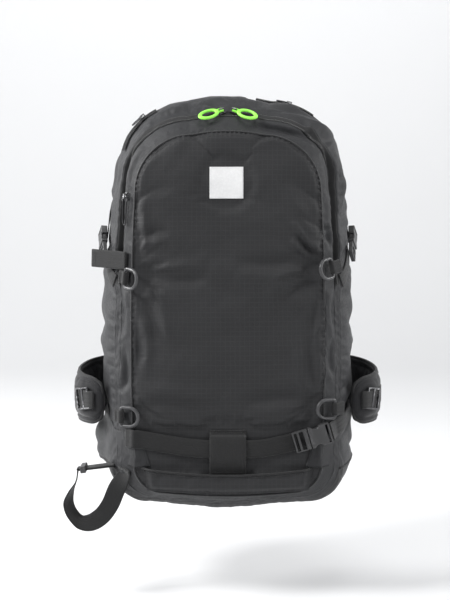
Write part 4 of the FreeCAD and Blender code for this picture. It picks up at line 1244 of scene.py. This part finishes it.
SKI_NEAR = [((-155, -175, 16), 25, (0.93, -0.12, -0.34)), ((-164, -174, -5), 25, (0.92, 0, -0.38)),
            ((-176, -172, -22), 25, (0.82, -0.12, -0.56)), ((-191, -169, -32), 25, (0.50, -0.48, -0.72)),
            ((-207, -165, -32), 25, (0.08, -0.78, -0.62)), ((-219, -161, -21), 25, (-0.36, -0.86, -0.36)),
            ((-224, -158, -7), 25, (-0.50, -0.86, 0.0)), ((-220, -155, 9), 24, (-0.25, -0.96, 0.10)),
            ((-213, -152, 24), 22, (0.06, -0.99, 0.12)), ((-209, -150.6, 38.5), 22, (0.0, -1.0, 0.08))]


def ski_loop():
    """The long loop low on the left: down from the seam, out and round, and back in again."""
    near = hug([(-146, -175, 46), (-148, -174, 36)], 1.6, WEB) + SKI_NEAR[:-1]
    a, b = np.array([-209.0, -150.5, 40.5]), np.array([-158.5, -152.5, 47.0])
    t = unit(b - a)
    up = np.array([0, -1.0, 0])
    n = unit(np.cross(t, up))
    over = [(p, 22, up) for p in (a - t * 1.5 - n * 0.2, a + t * 3 - n * 0.95, b - n * 0.95)]
    webbing("ski_loop_webbing", near + over, 1.7, ["ski_loop"], "ski_loop", step=1.5, cup=0.5, ripple=0.5,
            seed=14)
    tail = [(p, 22, up) for p in (b + n * 0.95, a + t * 4 + n * 0.95, a + t * 1 + n * 0.4)]
    webbing("ski_loop_tail", tail, 1.7, body="ski_loop", step=1.5, ripple=0.1)


def pad(name, path, thick, face, back, tip, seed=50, groove=0.80):
    """Padded strip with a stitched groove near each edge and a rounded far end; returns
    the piece, its edge line and stitch lines."""
    c, w, a, n, s = ribbon(path, 3.0)
    left = s[-1] - s
    k = np.clip(1 - left / tip, 0, 1)
    w = w * np.sqrt(np.maximum(1 - (0.93 * k) ** 2.6, 0.02))
    u = np.concatenate([[-1], np.linspace(-0.97, 0.97, 25), [1]])
    dip = bell(np.abs(u), groove, 0.05)
    h = thick / 2 * ((1 - np.abs(u) ** 7) ** 0.5 - 0.42 * dip)
    flat = c[:, None] + a[:, None] * (u[None, :, None] * w[:, None, None] / 2)
    end = np.sqrt(np.clip(left / 6.0, 0.0, 1))[:, None]
    live = (1 - np.abs(u)[None, :] ** 4) * end
    full = np.maximum(h[None, :] * (0.35 + 0.65 * end), 0.5)
    hf = full + (waves(flat, 45, seed) * 0.6 + waves(flat, 16, seed + 1) * 0.25) * live
    hb = full + (waves(flat, 30, seed + 2) * 0.5) * live
    A = flat + n[:, None] * hf[..., None]
    B = flat - n[:, None] * hb[..., None]
    V = np.concatenate([A, B[:, ::-1]], axis=1)
    rows, cols = V.shape[:2]
    both = np.concatenate([u, u[::-1]])[None, :]
    au = np.abs(both) + 0 * s[:, None]
    pin = np.maximum((au > 0.93) * 1.0, (np.abs(au - groove) < 0.05) * 1.0)
    pin[:2], pin[-2:] = 1.0, 1.0
    F = closed_faces(rows, cols, True)
    move = relax(V, F[:-2], pin.reshape(-1), spare=-0.02, push=2.0) - V
    size = np.linalg.norm(move, axis=-1, keepdims=True)
    V = V + move * np.minimum(1, PAD_CAP / np.maximum(size, 1e-6))
    is_back = [(i % cols) >= len(u) for i in range(len(F) - 2)] + [False, False]
    ob = mesh(name, V, F, [face, back], grid_uv(both * w[:, None] / 2, s[:, None]))
    two_cloths(ob, is_back)
    edge = np.vstack([flat[:, 0], flat[::-1, -1]])
    g = int(np.argmin(np.abs(u + groove)))
    lines = [A[3:-4, i] + n[3:-4] * 0.15 for i in (g, len(u) - 1 - g)]
    return ob, edge, lines


def trimmed_pad(names, node, body, path, thick, faces, tip, up, seed=50):
    """A padded strip with its binding and stitching; names are those of the three pieces."""
    ob, edge, lines = pad(names[0], path, thick, *faces, tip, seed)
    put(ob, body, "gusset", node)
    binding(names[1], edge[::3], 2.3, body, up=up)
    put(stitches(names[2], lines), body, "gusset")


def hip_wings():
    """Padded hip wings with the belt's webbing outside and inside them."""
    rows = [(152, 9.5, 136, 82), (176, 5, 136, 80), (200, -14, 135, 76), (212, -46, 134, 72),
            (213, -80, 134, 69), (205, -108, 134, 66), (191, -128, 134, 64), (174, -140.5, 134, 60)]
    outer = [(219.8, -80), (217.0, -97), (212.6, -109), (205.5, -123.5), (203.0, -128.5), (195.5, -137.5),
             (188.5, -141.5)]
    inner = [(184.5, -121, 132), (191.5, -108, 133), (196.5, -95, 134), (197, -70, 134)]
    for side, word in SIDES:
        wing = "wing_" + word
        path = [((side * x, y, z), w, UP) for x, y, z, w in rows]
        # mesh on the side that meets the wearer once the wings swing back
        faces = (GUS, MESHM) if side > 0 else (MESHM, GUS)
        names = ["hip_wing_%s_%s" % (part, word) for part in ("pad", "binding", "stitching")]
        trimmed_pad(names, "hip_wing_" + word, wing, path, 9.5, faces, 26, (0, 1, 0.1))
        webbing("hip_webbing_outer_" + word, stations([(x, y, 136) for x, y in outer], WEB, UP, side),
                nodes=["hip_webbing_" + word], body=wing, ripple=0.1)
        webbing("hip_webbing_inner_" + word, stations(inner, WEB, UP, side), body=wing, ripple=0.1, seed=17)


def harness():
    """Shoulder straps, their lower webbing, the load lifters and the haul loop."""
    rows = [(58, 19.5, 512, 54), (59, 31, 521, 56), (62, 46, 512, 58), (66, 55, 480, 60), (74, 58, 430, 62),
            (86, 57, 370, 62), (97, 51, 310, 60), (106, 42, 250, 52), (111, 34, 205, 40)]
    low = [(112.6, 32.5, 200), (113.2, 31.5, 188), (114, 29.5, 176), (122, 21, 120), (130, 14.6, 62),
           (131, 9.0, 49), (131.5, 2.2, 39), (131.5, 0.2, 33)]
    lift = [(63, 54.3, 505), (62.5, 51.8, 514.5), (62.5, 46.5, 522), (63.5, 36, 528), (65, 20, 535),
            (67, 4, 540.5)]
    for side, word in SIDES:
        path = [((side * x, y, z), w, ACROSS) for x, y, z, w in rows]
        names = ["shoulder_%s_%s" % (part, word) for part in ("strap_pad", "binding", "stitching")]
        trimmed_pad(names, "shoulder_strap_" + word, "harness", path, 11.0, (MESHM, GUS), 22,
                    (0.2, 1, 0.1), 60)
        ob = strap("shoulder_webbing_" + word, stations(low, NARROW_WEB, ACROSS, side), ripple=0.5, seed=21)
        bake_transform(ob)
        put(ob, None, "webbing", *first_only("back_webbing", side))
        path = stations(lift, THIN_WEB, ACROSS, side)
        path += [(tuple(on_skin((side * x, y, 560), 1.5)[0]), THIN_WEB, (1, 0, -0.35 * side))
                 for x, y in ((69, -12), (71, -26))]
        ob = strap("load_lifter_" + word, path, 1.5, ripple=0.1)
        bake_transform(ob)
        put(ob, None, "webbing")
    loop = [((-25 * math.cos(a), 3 + 20 * math.sin(a), 533 + 0.5 * math.sin(a)), THIN_WEB, (0, -0.2, 1))
            for a in np.linspace(0, math.pi, 13)]
    webbing("haul_loop", loop, 3.0, ripple=0.0, step=1.5)


def back_pad():
    """Moulded foam under mesh: blocks either side of the spine and cross channels."""
    U, W = np.meshgrid(np.linspace(-1, 1, 110), np.linspace(0, 1, 190))
    foot, top = 40, 522
    z = foot + (top - foot) * W
    half = 132 + 4 * np.sin(np.pi * W) - 12 * smooth01((W - 0.6) / 0.4)
    for corner, rise in ((45.0, z - foot), (70.0, top - z)):
        dz = np.maximum(corner - rise, 0)
        half = half - (corner - np.sqrt(np.maximum(corner ** 2 - dz ** 2, 0)))
    x = U * half
    edge = np.minimum((1 - np.abs(U)) * half, np.minimum(z - foot, top - z))
    h = 12.4 * np.sqrt(np.clip(edge / 13.0, 0, 1)) ** 0.9
    P = np.stack([x, 0 * x, z], -1)
    h -= 7.0 * bell(x, 0, 9.5, 4)
    for zc in (190, 360):
        h -= 6.0 * bell(z - 0.10 * np.abs(x), zc, 7.0, 4) * smooth01(edge / 8)
    for xc in (52, 96):
        h -= 1.6 * bell(np.abs(x), xc, 4.0) * smooth01((edge - 10) / 14)
    h = np.maximum(h + waves(P, 60, 71) * 0.3, 0.35)
    P[..., 1] = 0.3 + h
    ob = mesh("back_pad_foam", P, grid_faces(*U.shape, flip=True), MESHM, flat_uv(P))
    put(ob, "pack", "mesh", "back_pad")
    rim = np.vstack([P[:, 0], P[-1, 1:], P[::-1, -1], P[0, ::-1]])
    binding("back_pad_binding", rim[::4] + [0, 0.8, 0], 1.6, up=BACK)


def sternum():
    """The chest strap in its two halves, and the clips and sewn rails it slides on."""
    y, z, at = 68.5, 400.0, 78
    left = stations([(-74, y - 0.5, z), (-50, y + 1.2, z), (-25.6, y + 1, z)], NARROW_WEB)
    right = stations([(12, y - 2.9, z), (74, y - 2.9, z)], NARROW_WEB)
    webbing("sternum_strap_left", left, 1.5, ["sternum_straps"], "sternum", ripple=0.2)
    webbing("sternum_strap_right", right, 1.5, body="sternum", ripple=0.0)
    corner = [(6.8 * math.cos(a) + 1.2 * math.copysign(1, math.cos(a)), 10.6 * math.sin(a)) for a in
              (0.0, 0.75, 1.2, 1.94, 2.39, math.pi, 3.89, 4.34, 5.08, 5.53)]
    for s, word in SIDES:
        ring_line = [(s * at + a, y - 0.6, z + b) for a, b in corner]
        clip = tube("sternum_clip_" + word, ring_line, 2.1, BUCK, 12, closed=True, step=1.0, up=BACK)
        put(clip, "sternum", "buckle")
        bar = [(s * at, y - 0.4, z + b) for b in (-10, 0, 10)]
        put(tube("sternum_clip_bar_" + word, bar, 1.7, BUCK, 10, up=BACK), "sternum", "buckle")
        rail = [(s * at, 62.9 + 0.014 * (b + 42), z + b) for b in (-42, -40, -20, 0, 20, 40, 42)]
        put(tube("sternum_rail_" + word, rail, 1.4, PIPE, up=BACK), "harness", "binding")
        tacks = [np.array([(s * at + k, 65.0, z + b) for k in (-3.5, 0, 3.5)])
                 for b in (-42, -40.5, 40.5, 42)]
        put(stitches("sternum_rail_tacks_" + word, tacks, 1.6), "harness", "binding")


TRIGGER_AT = (-93.5, 65.0, 352.0)
TRIGGER_TURN = Matrix.Rotation(math.radians(9.5), 3, "Y") @ Matrix.Rotation(math.radians(-7.2), 3, "X")


def trigger_sleeve():
    """Two layers sewn along both edges and over the top, open below for the handle's stem."""
    turn = np.array(TRIGGER_TURN)

    def at(x, y, z):
        return np.array(TRIGGER_AT) + np.stack(np.broadcast_arrays(x, y + 2.75, z), -1) @ turn.T

    def half_thick(x, z):
        return 0.8 + 3.2 * smooth01((20 - np.abs(x)) / 7.0) * smooth01(-z / 9.0)

    face = np.linspace(-20, 20, 27)
    x = np.concatenate([face, face[-2:0:-1]])[None, :]
    way = np.concatenate([[0], np.ones(25), [0], -np.ones(25)])[None, :]
    z = np.concatenate([np.linspace(0, -9, 9), np.linspace(-11, -79, 34)])[:, None]
    P = at(x, way * half_thick(x, z), z)
    soft = smooth01((18 - np.abs(x)) / 6.0) * smooth01((-z - 6) / 10.0)
    P = P + turn @ BACK * (way * soft * (waves(P, 34, 91) * 0.5 + waves(P, 13, 92) * 0.2))[..., None]
    ob = mesh("trigger_sleeve_cloth", P, grid_faces(len(P), x.size, True), GUS, grid_uv(x, z), thick=1.0)
    put(ob, "harness", "gusset", "trigger_sleeve")
    binding("trigger_sleeve_hem", P[-1], 1.1, "harness", closed=True, step=1.5)
    k = np.linspace(-76, -3, 30)
    rim = np.linspace(-17.4, 17.4, 14)
    runs = [at(e, half_thick(17.4, k) + 0.25, k) for e in (-17.4, 17.4)]
    runs += [at(rim, half_thick(rim, h) + 0.3, h) for h in (-3.0, -75.0)]
    put(stitches("trigger_sleeve_stitching", runs, 3.0), "harness", "gusset")


def small_zips():
    """Coil zips of the goggle and shoulder pockets."""
    for name, pts in SMALL_ZIPS:
        path = [(swell(p), w, a) for p, w, a in hug(pts, 1.0, SMALL_TAPE, 6)]
        put(strap(name + "_zip_tape", path, 1.0, BIND, ripple=0.0), "pack", "binding")
        line = np.array([p for p, _, _ in path])
        line = line + np.cross(tangents(line), unit([a for _, _, a in path])) * 0.7
        put(tube(name + "_zip_coil", line, 1.5, COIL, oval=0.5, up=BACK), "pack", "zip_metal")


def airbag():
    """The folded airbag's sleeve, rolled round the top and sides behind the divider."""
    lo, hi = (np.array(corner) / S + [0, 0, YOKE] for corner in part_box("airbag_pack"))
    r = (hi[1] - lo[1]) / 2
    x1, z0, z1 = hi[0] - r, lo[2] + r, hi[2] - r
    pts = [(x1, z0), (x1, (z0 + z1) / 2), (x1 - 8, z1 - 50), (x1 - 40, z1 - 12), (0, z1)]
    pts += [(-x, z) for x, z in pts[-2::-1]]
    fine = spline([(x, (lo[1] + hi[1]) / 2, z) for x, z in pts], 4.0)
    rad = r * 0.86 + waves(fine, 34, 81) * 1.1 + waves(fine, 90, 82) * 0.8
    put(tube("airbag_roll", fine, rad, BAGM, 20, step=0, up=BACK), "pack", "airbag", "airbag_pack")


# material slots of the nodes that stay as the CAD made them
MATERIALS = {
    "ring": RINGM, "buckle": BUCK, "steel_black": STEEL, "zip_metal": ZINC, "pull_green": GREEN,
    "cord": CORD, "housing": GREYP, "rotor": ROTOR, "cells": CELL, "trigger_red": RED, "sheet": STEEL,
    "webbing": WEBM, "binding": BIND, "gusset": GUS, "ripstop": RIP, "base": BASE, "label": LABEL,
    "mesh": MESHM, "airbag": BAGM,
}


def cad_nodes():
    """Materials and softened edges for the nodes that stay as the CAD made them."""
    for sub in frame["record"]["subparts"]:
        ob = NODES.get(sub["node"])
        if ob is None or ob.name not in bpy.context.scene.objects:
            continue
        slider = sub["node"].startswith("hip_slider")
        ob.data.materials.clear()
        ob.data.materials.append(STEEL if slider else MATERIALS[sub["material_slot"]])
        b = ob.modifiers.new("round", "BEVEL")
        b.width, b.segments, b.limit_method, b.angle_limit = 0.0005, 2, "ANGLE", math.radians(38)
        b.harden_normals = True
        for p in ob.data.polygons:
            p.use_smooth = True


for make in (body, label, base_pocket, compression_wings, front_webbing, ring_tabs, side_webbing,
             ski_loop, hip_wings, harness, back_pad, sternum, trigger_sleeve, small_zips, airbag, cad_nodes):
    make()


# --- camera, light, stage --------------------------------------------------------------------

def look_at(ob, target):
    d = Vector(target) - ob.location
    ob.rotation_euler = d.to_track_quat("-Z", "Y").to_euler()


def camera():
    """Straight on and a little above, far enough away that the pack keeps its proportions."""
    cam = add_object("camera", bpy.data.cameras.new("camera"))
    tilt, away, sensor = math.radians(7.0), 2.4, 24.0
    mm_per_point, points_high = 1.42, 600       # scale of the picture at the pack, and its height
    aim = row((-4, -95, 272))
    cam.location = Vector(aim) + Vector((0, -math.cos(tilt), math.sin(tilt))) * away
    look_at(cam, aim)
    cam.data.sensor_fit = "VERTICAL"
    cam.data.sensor_height = sensor
    cam.data.lens = sensor * (away / S) / (mm_per_point * points_high)
    bpy.context.scene.camera = cam


def lights():
    """A pale room and five round lamps: position in metres, size and power."""
    world = bpy.data.worlds.new("studio")
    bpy.context.scene.world = world
    world.use_nodes = True
    sky = world.node_tree.nodes["Background"].inputs
    sky[0].default_value = (0.97, 0.98, 1.0, 1)
    sky[1].default_value = 0.50
    for name, loc, size, power in (
            ("key", (-1.9, -1.05, 1.5), 0.8, 62), ("fill", (1.9, -1.2, 0.5), 1.0, 16),
            ("top", (0.3, -0.6, 2.1), 0.9, 15), ("rim_left", (-2.0, 0.25, 0.5), 0.8, 42),
            ("rim_right", (2.0, 0.35, 0.5), 0.8, 17)):
        lamp = add_object(name, bpy.data.lights.new(name, "AREA"))
        lamp.data.shape, lamp.data.size, lamp.data.energy = "DISK", size, power
        lamp.location = loc
        look_at(lamp, row((0, -90, 280)))


def backdrop():
    """A white paper sweep: floor, curve and wall."""
    floor_z, bend = CAD_BOX[0][2] - 0.10, 1.2
    prof = [(y, floor_z) for y in (-3.2, 0.0, 1.0, 1.8)]
    prof += [(1.8 + bend * math.sin(a), floor_z + bend - bend * math.cos(a))
             for a in np.linspace(0.1, math.pi / 2, 14)]
    prof += [(3.0, floor_z + 3.5)]
    me = raw_mesh("backdrop", [(x, y, z) for y, z in prof for x in (-4.0, 4.0)],
                  [(2 * i, 2 * i + 1, 2 * i + 3, 2 * i + 2) for i in range(len(prof) - 1)])
    me.shade_smooth()
    n = Nodes("backdrop_paper", (0.88, 0.885, 0.89), rough=0.9, spec=0.1)
    cloud = n.noise(n.coords(False), 1.3, 3.0)
    height = n.split(n.coords(False))[2]
    # painted shade: the paper is darker on the floor and lighter up the wall, to offset the lamps' stronger
    # light on the floor
    low, high = (0.72, 0.723, 0.728, 1), (0.93, 0.933, 0.938, 1)
    paper = n.mix(n.ramp(height, floor_z, floor_z + 1.1), low, high)
    n.colour(n.mix(n.ramp(cloud, 0.4, 0.7, 0.0, 0.12), paper, (0.86, 0.865, 0.87, 1)))
    me.materials.append(n.m)
    add_object("backdrop", me)


camera()
lights()
backdrop()
bpy.context.scene.view_settings.view_transform = "Standard"
